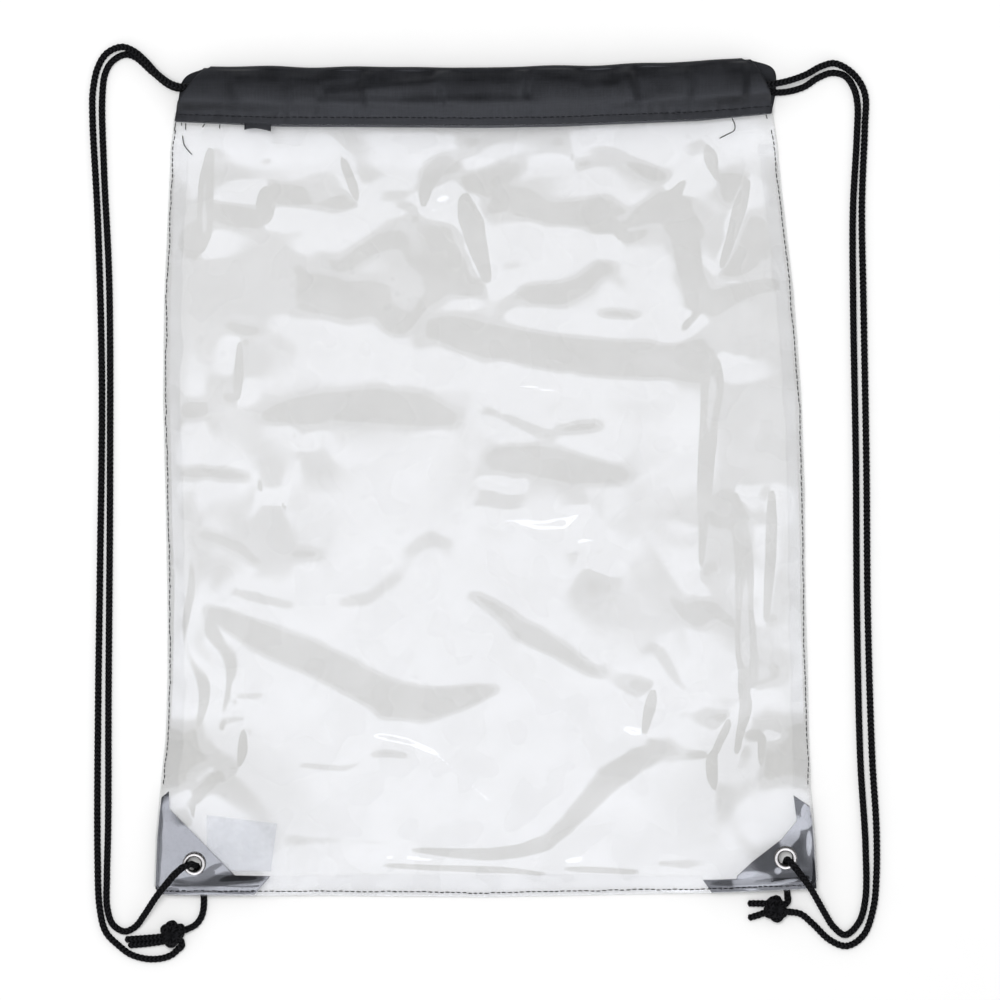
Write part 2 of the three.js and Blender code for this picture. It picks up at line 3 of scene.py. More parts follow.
import bpy
import numpy as np
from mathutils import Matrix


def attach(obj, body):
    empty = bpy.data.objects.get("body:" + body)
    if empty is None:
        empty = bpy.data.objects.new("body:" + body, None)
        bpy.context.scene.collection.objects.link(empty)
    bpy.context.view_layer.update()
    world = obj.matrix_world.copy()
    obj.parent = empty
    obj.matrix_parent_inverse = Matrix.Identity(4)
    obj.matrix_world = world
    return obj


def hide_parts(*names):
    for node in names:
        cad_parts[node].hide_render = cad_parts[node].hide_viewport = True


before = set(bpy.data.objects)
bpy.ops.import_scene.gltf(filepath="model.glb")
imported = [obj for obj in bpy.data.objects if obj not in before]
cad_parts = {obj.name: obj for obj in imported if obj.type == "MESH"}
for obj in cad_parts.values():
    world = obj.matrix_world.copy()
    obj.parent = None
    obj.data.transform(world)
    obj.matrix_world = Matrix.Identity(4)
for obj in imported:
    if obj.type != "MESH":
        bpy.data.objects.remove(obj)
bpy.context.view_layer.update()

bl_info = {
    "name": "Clear Drawstring Backpack",
    "version": (1, 0, 0),
    "blender": (4, 5, 0),
    "location": "View3D > Sidebar > Backpack",
    "description": "Dresses the clear drawstring backpack: sheets, casing, cords, eyelets and stitches",
    "category": "Object",
}

# Metres to a millimetre, and the limits under which a length or a slant counts as none.
MM = 0.001
TINY = 1e-6
UPRIGHT = 1e-3

BODY = "root"
INWARD = {"left": 1, "right": -1}


def table(columns, rows):
    """A table of numbers whose columns are read by name."""
    return dict(zip(columns.split(), np.array(rows, float).T))


# Layers of the bag, in millimetres: wall and gap of the solids, height of the dome and the corners.
LAYER = 1.3
BODY_RISE = 13.0
DOME_POWER = 2.0
BOTTOM_SLOPE = 0.55
MOUTH_SLOPE_START = 0.86
TUCK_START = 0.93
TUCK_END = 0.985
CORNER_LIFT = 5.3
CORNER_FLAT_RADIUS = 34.0
CORNER_END_RADIUS = 76.0
CORNER_SHOULDER = 6.0
SHOULDER_RISE = (30.0, 70.0)
SHOULDER_FALL = (80.0, 200.0)
SHOULDER_SIDE = 0.18
SHOULDER_BOTTOM = 0.16
CASING_TUCK = 4.3
GRID_CROWDING = 0.45
REAR_GRID = (110, 140)
FRONT_GRID = (186, 232)
EYELETS = {"left": (-149.8, -198.0), "right": (153.8, -195.0)}
EYELET_HOLE_RADIUS = 4.1
FLANGE_EASE = (6.5, 18.0)

# How the sheets lie on those layers, in millimetres: lifts, waves of the rear sheet, and rolled edges, which
# end at shares of the bag's height.
REAR_LIFT = 0.12
REAR_WAVE_RISE = 0.1
REAR_WAVE_LIMIT = 0.4
REAR_ROLL = 0.7
FRONT_LIFT = 0.3
FRONT_ROLL = 0.8
ROLL_REACH = 2.2
ROLL_END = (0.9, 0.96)
INSIDE_LIFT = 0.2
FLOOR_GAP = 0.1

# Where the front sheet's folds fade at its edges and where its crinkles lie, in shares of its width and
# height.
FADE_SIDE = 0.05
FADE_BOTTOM = 0.03
FADE_TOP = 0.04
LEFT_MARGIN = (0.03, 0.2)
RIGHT_MARGIN = (0.8, 0.95)
PLEATS_ALONG = (0.72, 0.97)
CRINKLES_ACROSS = (0.55, 0.9)
CRINKLES_ALONG = (0.08, 0.4)

# Ripples by name: height, seed, number of waves, shortest and longest wave, and how crowded they are across
# and along the bag where that isn't even. Lengths are in millimetres.
RIPPLES = {
    "swell": (0.3, 3, 12, 60, 140, 0.7, 1),
    "drift": (5, 17, 6, 40, 90),
    "margin_crinkles": (0.24, 7, 12, 9, 26, 1, 0.14),
    "mouth_pleats": (0.22, 11, 10, 18, 45, 1, 0.3),
    "corner_crinkles": (0.3, 13, 10, 9, 22, 1, 0.4),
    "rear_waves": (0.1, 21, 12, 24, 60),
    "left_allowance": (0.5, 32, 8, 14, 60),
    "right_allowance": (0.5, 30, 8, 14, 60),
    "bottom_allowance": (0.4, 37, 8, 20, 70),
    "seam_strip": (0.15, 41, 8, 12, 40),
    "casing_wrinkles": (0.34, 51, 12, 16, 60, 1, 0.8),
    "hem_puckers": (0.1, 52, 8, 4, 9, 1, 0.25),
    "casing_fold": (0.4, 81, 6, 30, 90),
    "label": (0.2, 61, 6, 14, 40),
    "left_stitches": (0.25, 72, 6, 9, 40),
    "right_stitches": (0.25, 70, 6, 9, 40),
    "bottom_stitches": (0.2, 75, 6, 12, 60),
    "oval_rim": (0.08, 91, 6, 5, 14),
}

# The casing: a folded strip with a tunnel for the cords.
CASING_HEIGHT = 30.0
CASING_GRID = (300, 73)
EASE_ROUNDS = 8
PLY_WALL = 1.0
TUNNEL_HEIGHT = 4.3
HEM_SHARE = 0.17
TUNNEL_SHARE = 0.38
MOUTH_MIDDLE_Z = 16.0
MOUTH_END_Z = 8.0
MOUTH_SEAM_Z = 3 * LAYER
MOUTH_LEFT = -160.0
MOUTH_RIGHT = 147.0
MOUTH_POWER = 2.5
INNER_PLY_LEFT = -134.0
INNER_PLY_RIGHT = 120.0
FOLD_PULL = 0.3
BULGED_PLY = (1.4, 1.8)

# The hem's line, pressed in by its depth in millimetres, and the wrinkles, which are weaker below the
# casing's body and puckered beside the hem; places and spreads are shares of the casing's height.
HEM_STITCH_SHARE = 0.115
HEM_DEPTH = 0.14
HEM_SPREAD = 0.03
HEM_WRINKLES = 0.35
PUCKER_SHARE = 0.14
PUCKER_SPREAD = 0.12
CASING_BODY_SHARE = 0.3

# Curves: the least steps and points of one, and the steps worked out for each point that is kept.
CURVE_LEAST_STEPS = 4
CURVE_LEAST_POINTS = 3
CURVE_FINENESS = 3

# The cords' mesh and braid.
CORD_SPACING = 0.56
CORD_SIDES = 20
BRAID_COLUMNS = 4
BRAID_PITCH = 2.3
BRAID_MEAN = 0.98
BRAID_RELIEF = 0.1
BRAID_LEAN = 0.75
TUBE_END = 0.8
TUBE_TIP = 0.02

# The cords' way through the casings.
LANE = 2.1
RUN_SHARE = 0.57
RUN_STEPS = 5
TURN_LEAD = 7.0
TURN_SHARES = (0.25, 0.5, 0.75)

# Side edges of the bag, row by row from the bottom seam to the casing.
EDGES = table("y left right", [
    (-216, -165, 165.5),
    (-211, -170.5, 170.5),
    (-186, -169.6, 169),
    (-163, -167.6, 167),
    (-135, -165, 166.4),
    (-104, -164, 165.7),
    (-63, -164, 164.5),
    (-11, -165, 164.2),
    (40, -166.3, 162.3),
    (91, -165.8, 158.5),
    (143, -163.5, 152.5),
    (168, -162.4, 150),
    (188, -160, 147),
])

# The bottom seam's line.
BOTTOM = table("x y", [(-166, -214.5), (0, -216), (105, -214), (166, -211.5)])

# The casing's lower edge and its fold.
CASING = table("x low high", [
    (-160, 183.5, 211.5),
    (-106, 181, 211),
    (0, 180.4, 210),
    (38, 181, 211),
    (110, 184, 214),
    (136, 186.6, 216),
    (150, 188, 216),
])

# Where each casing's outer ply ends, by its share of the casing's height.
CASING_ENDS = table("share front_left front_right back_left back_right", [
    (0, -160, 147, -160, 147),
    (0.4, -158, 146, -158.5, 149.5),
    (0.7, -151, 141, -159, 151.5),
    (1, -144, 136, -150, 143),
])

# Section of a casing from the flat ply over the fold to the bulged ply: ply (0 flat, 1 fold, 2 bulged),
# share of the height and distance from the flat ply's face, outside and on the tunnel side.
TUNNEL_ROOF = TUNNEL_HEIGHT + PLY_WALL
SECTION = table("ply out_share out in_share inside", [
    (0, 0, 0, 0, 1),
    (0, HEM_SHARE, 0, HEM_SHARE, 1),
    (0, TUNNEL_SHARE, 0, TUNNEL_SHARE, 1),
    (0, 0.76, 0, 0.76, 1),
    (0, 0.9, 0, 0.9, 1),
    (1, 0.97, 0.6, 0.93, 1.3),
    (1, 1, 1.8, 0.955, 1.8),
    (1, 0.97, 3, 0.93, 2.3),
    (2, 0.9, 4.0, 0.9, 3.0),
    (2, 0.74, TUNNEL_ROOF + 1.1, 0.74, TUNNEL_ROOF + 0.1),
    (2, TUNNEL_SHARE, TUNNEL_ROOF + 1.2, TUNNEL_SHARE, TUNNEL_ROOF + 0.2),
    (2, HEM_SHARE, 3.7, HEM_SHARE, 2.7),
    (2, 0, 2.9, 0, 1.9),
])

# Folds of the front sheet: slope, and a line of x, y and half width; the sheet steps down on the line's
# left hand, or up where the slope is negative.
FOLDS = [
    (0.24, [(-34, 82, 3), (-20, 76, 7), (0, 70, 9), (25, 65, 9), (50, 61, 10), (80, 60, 10), (104, 61, 10),
            (118, 62, 5)]),
    (0.20, [(-100, 95, 4), (-88, 94, 9), (-70, 91, 11), (-55, 92, 10), (-42, 93, 6)]),
    (0.16, [(-78, 104, 4), (-66, 114, 5), (-54, 121, 5), (-40, 124, 3)]),
    (0.20, [(-56, 78, 3), (-46, 80, 7), (-36, 76, 5)]),
    (0.22, [(-120, 30, 2), (-100, 34, 6), (-80, 37, 7), (-55, 37, 9), (-35, 35, 9), (-18, 30, 5),
            (-10, 28, 2)]),
    (0.17, [(-2, 36, 2), (12, 30, 2), (26, 24, 2), (36, 20, 2)]),
    (0.27, [(-4, 11, 2), (12, 10, 6), (28, 9, 8), (48, 5, 7), (64, 2, 5), (78, 0, 2)]),
    (0.17, [(34, 24, 2), (48, 26, 4), (62, 27, 3)]),
    (0.20, [(-162, 2, 3), (-148, 3, 3), (-134, 2, 3), (-120, 0, 1.5)]),
    (0.18, [(-160, 35, 4), (-150, 35, 5), (-140, 36, 3)]),
    (0.20, [(-148, -28, 1.6), (-138, -31, 2), (-126, -36, 2), (-116, -45, 1.6)]),
    (0.18, [(-132, -58, 1.6), (-116, -62, 2), (-98, -66, 1.6)]),
    (0.12, [(-102, -39, 3), (-92, -39, 3), (-82, -40, 2)]),
    (0.11, [(-80, -65, 3), (-60, -62, 5), (-44, -50, 6), (-34, -34, 6), (-28, -24, 4)]),
    (0.11, [(-28, -26, 5), (-18, -42, 6), (-8, -58, 5)]),
    (0.22, [(-12, -56, 3), (4, -66, 5), (20, -78, 6), (38, -89, 5), (62, -104, 3)]),
    (0.12, [(12, -77, 3), (24, -82, 4.5), (40, -90, 2)]),
    (0.34, [(-148, -65, 2), (-130, -74, 5), (-110, -84, 7), (-90, -92, 8), (-70, -102, 9), (-50, -113, 10),
            (-32, -116, 9), (-14, -113, 7), (4, -108, 4), (12, -106, 2)]),
    (0.55, [(-44, -190.5, 1.4), (-16, -193.3, 3.2), (2, -194, 3.8), (17, -192.2, 4), (32, -187, 4.6),
            (42, -178, 6), (51, -168, 7), (63, -155, 7.4), (78, -144, 6), (96, -137, 1.4)]),
    (0.2, [(-106, -186, 4), (-80, -186, 5), (-60, -187, 5), (-44, -188, 3)]),
    (0.46, [(-55, -199, 1.2), (-29, -200.2, 2.1), (-6, -201.1, 2.3), (10, -201.6, 2.1), (33, -204, 1.2)]),
    (0.46, [(38, -200.8, 1.2), (54, -201.4, 2.3), (66, -202, 2), (80, -203, 1.2)]),
    (0.36, [(86, -198, 1.4), (103, -198.6, 2.8), (116, -197.5, 1.4)]),
    (0.54, [(2, 90, 1.4), (0, 105, 6), (-5, 122, 8), (-10, 140, 9), (-16, 155, 1.4)]),
    (0.52, [(-12, 156, 1.4), (-14, 168, 5), (-18, 180, 1.4)]),
    (0.52, [(-34, 132, 1.4), (-31, 146, 6), (-28, 160, 6), (-24, 180, 1.4)]),
    (0.52, [(-64, 138, 1.4), (-68, 150, 4), (-73, 163, 4.5), (-84, 178, 1.4)]),
    (0.52, [(-109, 162, 1.4), (-111, 178, 1.4)]),
    (0.52, [(-114, 127, 1.4), (-113, 140, 6), (-112, 153, 1.4)]),
    (0.5, [(-148, 112, 1.4), (-145, 130, 5), (-144, 150, 5), (-141, 172, 1.4)]),
    (0.20, [(8, 150, 3), (18, 142, 8), (32, 135, 6), (46, 136, 6), (60, 141, 5), (68, 146, 3)]),
    (0.52, [(42, 180, 1.4), (44, 168, 5), (46, 156, 1.4)]),
    (0.52, [(65, 133, 1.4), (68, 126, 4), (71, 119, 1.4)]),
    (0.20, [(48, 172, 4), (64, 168, 5), (80, 160, 6), (96, 152, 4)]),
    (0.52, [(88, 150, 1.4), (98, 138, 9), (103, 122, 9), (105, 106, 8), (109, 92, 8), (118, 80, 1.4)]),
    (0.20, [(12, 100, 3), (24, 95, 6), (38, 94, 6), (50, 99, 5), (58, 107, 5), (70, 110, 3)]),
    (0.17, [(56, 84, 2), (68, 84, 3), (80, 82, 2)]),
    (0.52, [(112, 176, 1.4), (115, 164, 4), (120, 150, 1.4)]),
    (0.52, [(136, 156, 1.4), (130, 138, 4.5), (124, 118, 4), (119, 104, 1.4)]),
    (0.52, [(118, 66, 1.4), (117, 48, 6), (114, 28, 5), (113, 8, 5), (112, -14, 4.5), (111, -34, 3),
            (110, -52, 1.4)]),
    (0.52, [(126, -4, 1.4), (130, -22, 6), (132, -44, 6), (133, -66, 6), (134, -90, 6), (138, -112, 1.4)]),
    (0.52, [(147, -4, 1.4), (147, -24, 4.5), (146, -46, 4), (144, -76, 1.4)]),
    (0.20, [(100, -74, 4), (108, -70, 8), (118, -62, 4)]),
    (0.20, [(86, -84, 2), (92, -94, 2.5), (98, -104, 2.5), (105, -113, 2)]),
    (0.52, [(88, -104, 1.4), (84, -116, 5), (82, -128, 5), (78, -136, 1.4)]),
    (0.52, [(126, -121, 1.4), (122, -132, 3.4), (116, -143, 1.4)]),
    (0.85, [(115, -139, 2.6), (117, -154, 3.4), (121, -170, 3.4), (123, -182, 2.6)]),
    (0.85, [(142, -130, 2.4), (141, -150, 3.2), (142, -168, 3.2), (145, -187, 2.4)]),
    (0.52, [(130, -100, 1.4), (134, -116, 3), (130, -136, 3), (126, -150, 1.4)]),
    (0.20, [(-130, -112, 1.6), (-120, -112, 1.8), (-112, -111, 1.6)]),
    (0.20, [(-137, -126, 1.6), (-130, -124, 1.8), (-122, -123, 1.6)]),
    (0.20, [(-98, -147, 1.6), (-86, -148, 2), (-72, -149, 1.8), (-62, -145, 1.6)]),
    (0.20, [(-62, -142, 1.8), (-50, -141, 2.4), (-38, -143, 1.6)]),
    (0.18, [(-135, 80, 1.6), (-126, 76, 2.5), (-114, 75, 1.6)]),
    (0.52, [(-128, 38, 1.4), (-127, 52, 3), (-126, 72, 1.4)]),
    (-0.09, [(-116, 84, 4), (-90, 74, 8), (-60, 63, 9), (-30, 57, 9), (0, 52, 7)]),
    (-0.10, [(0, 60, 3), (30, 53, 5), (60, 48, 6), (100, 46, 6)]),
    (-0.10, [(-104, 114, 6), (-84, 122, 8), (-64, 132, 7), (-44, 144, 4)]),
    (-0.10, [(8, 84, 3), (30, 81, 5), (60, 77, 5), (105, 75, 4)]),
    (-0.10, [(-24, 92, 4), (-12, 92, 6), (0, 88, 3)]),
    (-0.10, [(4, 128, 4), (24, 120, 9), (44, 118, 9), (60, 128, 5)]),
    (-0.10, [(-6, 172, 4), (8, 170, 8), (22, 168, 6), (38, 172, 3)]),
    (-0.10, [(48, 178, 3), (64, 176, 6), (84, 168, 6), (100, 156, 4)]),
    (-0.10, [(56, 160, 4), (66, 150, 4), (74, 138, 3)]),
    (-0.08, [(-108, -194, 2), (-60, -194.5, 2.4), (0, -197.5, 2.4), (50, -197, 2)]),
    (-0.12, [(-150, 177, 3), (-60, 175.5, 3), (40, 175.5, 3), (140, 181, 3)]),
]

# Folds of the front sheet that catch the spot light, as above; they ease back far from their lines.
GLINTS = [
    (-0.46, [(12, 48, 2), (26, 46, 2.6), (42, 43, 2)]),
    (-0.46, [(-4, -1, 1.8), (8, -3.4, 2.2), (20, -5.6, 1.8)]),
    (-0.42, [(-10, -17, 2), (8, -21, 3), (28, -24.5, 4.4), (40, -23, 4.8), (54, -15, 3)]),
    (-0.41, [(40, -35, 2), (52, -32, 4), (64, -31, 2)]),
    (-0.46, [(48, -40, 2), (58, -44, 2.8), (70, -49, 2)]),
    (-0.46, [(-60, -131, 2), (-40, -135, 2.6), (-26, -141, 2.4), (-14, -152, 2.4), (4, -168, 2)]),
    (-0.46, [(-118, -9, 2), (-110, -10, 2.4), (-102, -10, 2)]),
    (-0.46, [(-98, 16, 2), (-90, 18.5, 2.4), (-80, 22, 2)]),
]
GLINT_REACH = 5.0

# Folds of the front sheet over the corner patches, as above.
CORNER_FOLDS = [
    (0.12, [(112, -209, 2.5), (130, -209, 3), (150, -207, 3), (169, -205, 3)]),
    (0.09, [(130, -200, 8), (146, -197, 11), (158, -193, 12), (170, -191, 8)]),
    (0.13, [(-164, -207.5, 3), (-146, -206.5, 4), (-128, -205.5, 4), (-112, -205, 3)]),
    (0.46, [(-152, -170, 1), (-145, -160, 2.6), (-137, -150, 1)]),
    (0.44, [(-150, -178, 1), (-151, -169, 2.2), (-151, -160, 1)]),
    (0.42, [(-128, -152, 1), (-125, -140, 3), (-124, -127, 1)]),
]

# Ovals of the corner patches where the clear sheet clings to the cloth (right) or stands off it (left):
# centre, half axes and turn in degrees; the rim is where an oval fades, in shares of its half axes.
PATCH_OVALS = {
    "left": [
        (-168.6, -187, 2.4, 30, -2.2), (-136.5, -206.4, 26, 2.6, 1.6), (-140.2, -200.2, 5.4, 1.4, 24),
        (-144, -203.4, 5, 2.2, 12), (-163.5, -212, 6, 2.2, 0), (-164, -162, 1.2, 1.6, 0),
    ],
    "right": [
        (156.4, -182.6, 4.6, 10, -28), (163, -177.4, 5.4, 3.6, 22), (164.8, -171, 2.8, 5.5, -10),
        (166, -187.7, 1.5, 6.5, 0), (136.8, -207, 10.5, 5, 4), (150.1, -201.8, 1.9, 1.9, 0),
        (150.5, -208, 11, 1.1, 10),
    ],
}
OVAL_RIM = (0.82, 1.1)

# Creases of the casing's outer ply, as above.
CASING_FOLDS = [
    (0.38, [(-84, 197.5, 2), (-60, 200.5, 2.2), (-40, 203, 2.2), (-24, 205, 2)]),
    (0.46, [(-20, 188, 2), (-24, 198, 2.4), (-27, 208, 2)]),
    (0.4, [(-61, 188, 2), (-64, 199, 2.4), (-63, 209, 2)]),
    (0.28, [(-88, 193, 2), (-50, 192.6, 2), (-8, 193.6, 2), (24, 194.4, 2)]),
    (0.42, [(23, 210, 2), (21, 202, 2.4), (19, 193, 2)]),
    (0.46, [(74, 211, 2), (76, 201, 2.6), (78, 191, 2)]),
    (0.24, [(46, 200, 2), (58, 204, 3), (70, 202, 2)]),
    (0.46, [(134, 215, 2), (133.5, 205, 2), (133, 193, 2)]),
    (0.20, [(-126, 188, 3), (-130, 198, 4), (-132, 209, 3)]),
    (0.22, [(-99, 188, 3), (-102, 198, 3.5), (-100, 209, 3)]),
    (0.24, [(103, 212, 2.4), (106, 202, 3), (104, 191, 2.4)]),
]

# How every fold is spread from its line, blended at its corners and eased at its ends.
FOLD_SPREAD = 1.5
FOLD_REACH = 2.4
FOLD_MARGIN = 3
FOLD_BLEND = 0.3
FOLD_BLEND_POWER = 6
FOLD_END_SHARE = 0.3

# The cords' strands outside the casings: x, y, z of the centre line.
LEFT_OUTER = [
    (-156.5, -240.4, 2.4), (-162.6, -245.9, 1.9), (-172.2, -247.7, 1.9), (-182.3, -245.5, 1.9),
    (-189.2, -240.6, 1.9), (-195.8, -233.6, 1.9), (-198.9, -221.5, 1.9), (-200, -196, 1.9),
    (-199.7, -114, 1.9), (-198.8, -50, 1.9), (-197.8, 50, 1.9), (-199.9, 132.6, 1.9),
    (-202.6, 185, 1.9), (-202.4, 199.4, 1.9), (-199.8, 211.6, 1.9), (-195.1, 218.8, 2.2),
    (-187.4, 221.8, 3.8), (-180.6, 219.2, 5.6), (-174.8, 214.1, 7), (-167.8, 206.6, 9),
    (-158.8, 201.2, 11),
]
LEFT_INNER = [
    (-160.4, 201, 2.9), (-171.2, 208.6, 1.9), (-180.6, 216.7, 1.9), (-186, 218, 1.9),
    (-192.3, 214.6, 1.9), (-196, 208.5, 1.9), (-197.6, 196, 1.9), (-196.7, 158.8, 1.9),
    (-194, 100, 1.9), (-193.6, 0, 1.9), (-194.4, -114, 1.9), (-194.6, -179, 1.9),
    (-195.2, -204.6, 1.9), (-195, -221.5, 1.9), (-192, -230, 1.9), (-186.1, -233.4, 1.9),
    (-180.6, -231, 2.4), (-175.5, -224.4, 6.4), (-170.6, -217, 10.8), (-166, -210.7, 11.6),
    (-159.5, -203.2, 11.8), (-154.8, -199.4, 13), (-151.3, -198, 12.3), (-149.3, -199, 9.4),
    (-148.9, -199.3, 6.5), (-148.8, -200, 3.2), (-148.4, -202.8, 1.95), (-146.9, -208.5, 2),
    (-145.3, -215.4, 1.9), (-146.2, -225, 1.9), (-149.6, -230, 2.2), (-155, -232.6, 3.5),
]
RIGHT_OUTER = [
    (155.2, -223.1, 3.1), (161.9, -224.4, 1.9), (167.9, -229.2, 1.9), (177.3, -238, 1.9),
    (185.8, -240.9, 1.9), (194.3, -235.4, 1.9), (199.4, -221.5, 1.9), (201, -204.6, 1.9),
    (201, -180.9, 1.9), (198.8, -144, 1.9), (196.6, -73, 1.9), (195.8, 9.3, 1.9),
    (194.3, 91.5, 1.9), (193.5, 140, 1.9), (195, 180, 1.9), (195.2, 197.1, 1.9),
    (191.7, 205, 1.9), (185.8, 210.7, 2.2), (178.9, 213.4, 3.6), (172.2, 211.6, 5.4),
    (163.5, 206.8, 8), (151.1, 202.8, 10.6),
]
RIGHT_INNER = [
    (149.6, 198.4, 3), (162.8, 201, 1.9), (171.2, 206.2, 1.9), (178.2, 208.6, 1.9),
    (184.9, 206.9, 1.9), (189.2, 201, 1.9), (191.2, 192.8, 1.9), (190.9, 176, 1.9),
    (188.9, 137.8, 1.9), (189, 90, 1.9), (190.4, 9.3, 1.9), (191, -73, 1.9),
    (192.7, -145, 1.9), (195.4, -190, 1.9), (195.2, -217.4, 1.9), (191.7, -229.2, 1.9),
    (184.9, -235.2, 1.9), (178.9, -231, 2.4), (174.3, -224, 6.6), (170.4, -217.2, 10.8),
    (166.5, -210.5, 11.6), (160, -201.5, 11.8), (157.9, -199, 12.9), (155.4, -196.5, 10.6),
    (154.9, -196.1, 6.5), (154.5, -196.9, 3.2), (153.9, -199.9, 1.95), (154.3, -205.5, 2),
    (155, -212.5, 1.9), (155.3, -217.9, 2.8),
]
CORDS = {
    "left": {"outer": LEFT_OUTER, "inner": LEFT_INNER, "from_x": -142, "turn_x": 121,
             "lane": LANE, "exit": (-145.3, -215.4, 1.9), "length": 1.71},
    "right": {"outer": RIGHT_OUTER, "inner": RIGHT_INNER, "from_x": 137, "turn_x": -135,
              "lane": -LANE, "exit": (155, -212.5, 1.9), "length": 1.69},
}

# The knots: where each lies, how it is turned, and the routes of its tails and of the strands that join it.
KNOTS = {
    "left": {
        "at": (-161.6, -234.9, 4.9),
        "turn": -10,
        "tails": [
            [(-162, -237.5, 3.2), (-168, -238.8, 2.4), (-177, -240, 1.9), (-184.4, -240.5, 1.9)],
            [(-162, -234.9, 4), (-168, -236.1, 3.2), (-176, -236.9, 2.2), (-186, -237.6, 1.9)],
        ],
        "joins": [
            [(-164, -232, 4.6), (-162.4, -229.2, 4.3), (-160.3, -229.6, 4.2), (-160, -232.4, 4.6)],
            [(-159.8, -233.6, 4.2), (-158.2, -230.8, 3.9), (-156.4, -231.4, 3.7), (-157, -234.4, 3.8)],
            [(-160.5, -236, 4), (-157.4, -237.8, 3), (-156.5, -240.4, 2.4), (-159, -243.4, 2.1)],
            [(-161, -233.8, 4.4), (-158, -233.4, 4), (-155, -232.6, 3.5), (-151.6, -231.2, 2.6)],
        ],
    },
    "right": {
        "at": (149, -221.4, 4.6),
        "turn": 180,
        "tails": [
            [(149, -219.5, 4), (144, -219, 3), (139, -219, 2), (134.6, -219, 1.9)],
            [(149, -223, 4), (144, -223.6, 3), (139, -225.4, 2), (134.8, -226.6, 1.9)],
        ],
        "joins": [
            [(145.4, -220.6, 4.6), (146, -217.6, 4.6), (148.6, -216.8, 4.6), (151, -219.4, 4.8)],
            [(147.4, -224, 4.4), (148.6, -226.8, 4), (150.8, -226.8, 4), (152.2, -223.8, 4.4)],
            [(149.6, -221.8, 4.4), (152.4, -222.6, 3.8), (155.2, -223.1, 3.1), (159, -223.6, 2.3)],
            [(150, -221, 4.4), (153, -219.8, 3.8), (155.3, -217.9, 2.8), (155.3, -214.4, 2.1)],
        ],
    },
}
KNOT_SCALE = 1.75
KNOT_HEIGHT_SCALE = 1.5
KNOT_OPEN_ANGLE = 0.35
KNOT_POINTS = 120
KNOT_STEP = 6
KNOT_SPACING = 0.5
KNOT_STRAND = 0.96

# The knots' two loops, as size and lift, and their core: radius and half height, and the depth and number
# of its creases.
KNOT_LOOPS = ((1.0, -0.55), (0.72, 1.1))
KNOT_CORE = (5.4, 3.8)
KNOT_CREASES = (0.05, 7, 2)
KNOT_CORE_POINTS = 14
KNOT_CORE_SIDES = 28
KNOT_CORE_TIP = 0.01

# Inner edges of the corner patches, from the bottom seam up.
PATCH_EDGES = {
    "left": table("y x", [
        (-214, -119), (-204.6, -110.8), (-204.2, -129), (-170, -162.6), (-161, -163),
    ]),
    "right": table("y x", [
        (-213, 116), (-206.6, 111.5), (-206, 128.8), (-204.5, 129), (-197.5, 136.5), (-185.5, 152),
        (-176, 159.7), (-163, 158),
    ]),
}
PATCH_GRID = (90, 70)
PATCH_SIDE_INSET = 0.7
PATCH_BOTTOM_INSET = 0.6

# By patch: the index of its shine, the slant of its upper edge, and the share of the sheet's folds that it
# follows.
PATCH_COATS = {"left": 2.45, "right": 2.95}
PATCH_SLANTS = {"left": 3.1, "right": 5.6}
PATCH_SLANT_HEIGHT = 14.0
PATCH_FOLLOWS = {"left": 0.8, "right": 0.25}

# The strips folded under the patches: both ends and the width.
PATCH_STRIPS = {
    "left": [((-163, -209.4), (-116.5, -210.2), 0.9), ((-160, -213.2), (-119, -213.4), 1.2)],
    "right": [((118, -211.8), (163, -209.6), 0.9)],
}
STRIP_GRID = (40, 4)
STRIP_WAVE = (0.3, 0.21)
STRIP_LIFT = 0.85
STRIP_WALL = 0.3

# The label's corners and its lower edge, which the corner patch overlaps.
LABEL_TOP = table("x y", [(-143.4, -173.2), (-107.4, -177.6)])
LABEL_LOW = table("x y", [(-143.4, -189), (-130.8, -202), (-111, -202)])
LABEL_GRID = (40, 34)
LABEL_LEAN = 3.2
LABEL_LEAN_FROM = (-118.0, -107.0)
LABEL_LIFT = 0.3
LABEL_WALL = 0.25
LABEL_TINT = (0.985, 0.99, 1.0)

# The eyelets: barrel, wall, and rings of the rolled flanges as radius and height, from the barrel outwards.
BARREL_SIDES = 40
BARREL_RADIUS = 3.62
BARREL_MIDDLE = 7.2
BARREL_LENGTH = 4.2
EYELET_WALL = 0.3
TOP_RINGS = [(3.85, 9.76), (4.2, 9.94), (4.85, 10.02), (5.5, 9.94), (5.8, 9.74), (5.86, 9.35)]
BACK_RINGS = [(3.95, 4.85), (4.3, 4.6), (4.8, 4.5), (5.3, 4.6), (5.5, 4.85)]

# The clear sheets: range of roughness, tint of what shows through, and share of light mirrored from above.
CLEAR_GLOSS = (0.012, 0.05)
SOFT_GLOSS = (0.2, 0.34)
CLEAR_TINT = (0.976, 0.976, 0.975)
SEAM_TINT = (0.993, 0.993, 0.993)
SHEET_MIRROR = 0.045
SEAM_MIRROR = 0.015
WHITE = (1.0, 1.0, 1.0, 1.0)

# Colour sockets of a mixing node.
MIX_LOW = 6
MIX_HIGH = 7
MIX_RESULT = 2

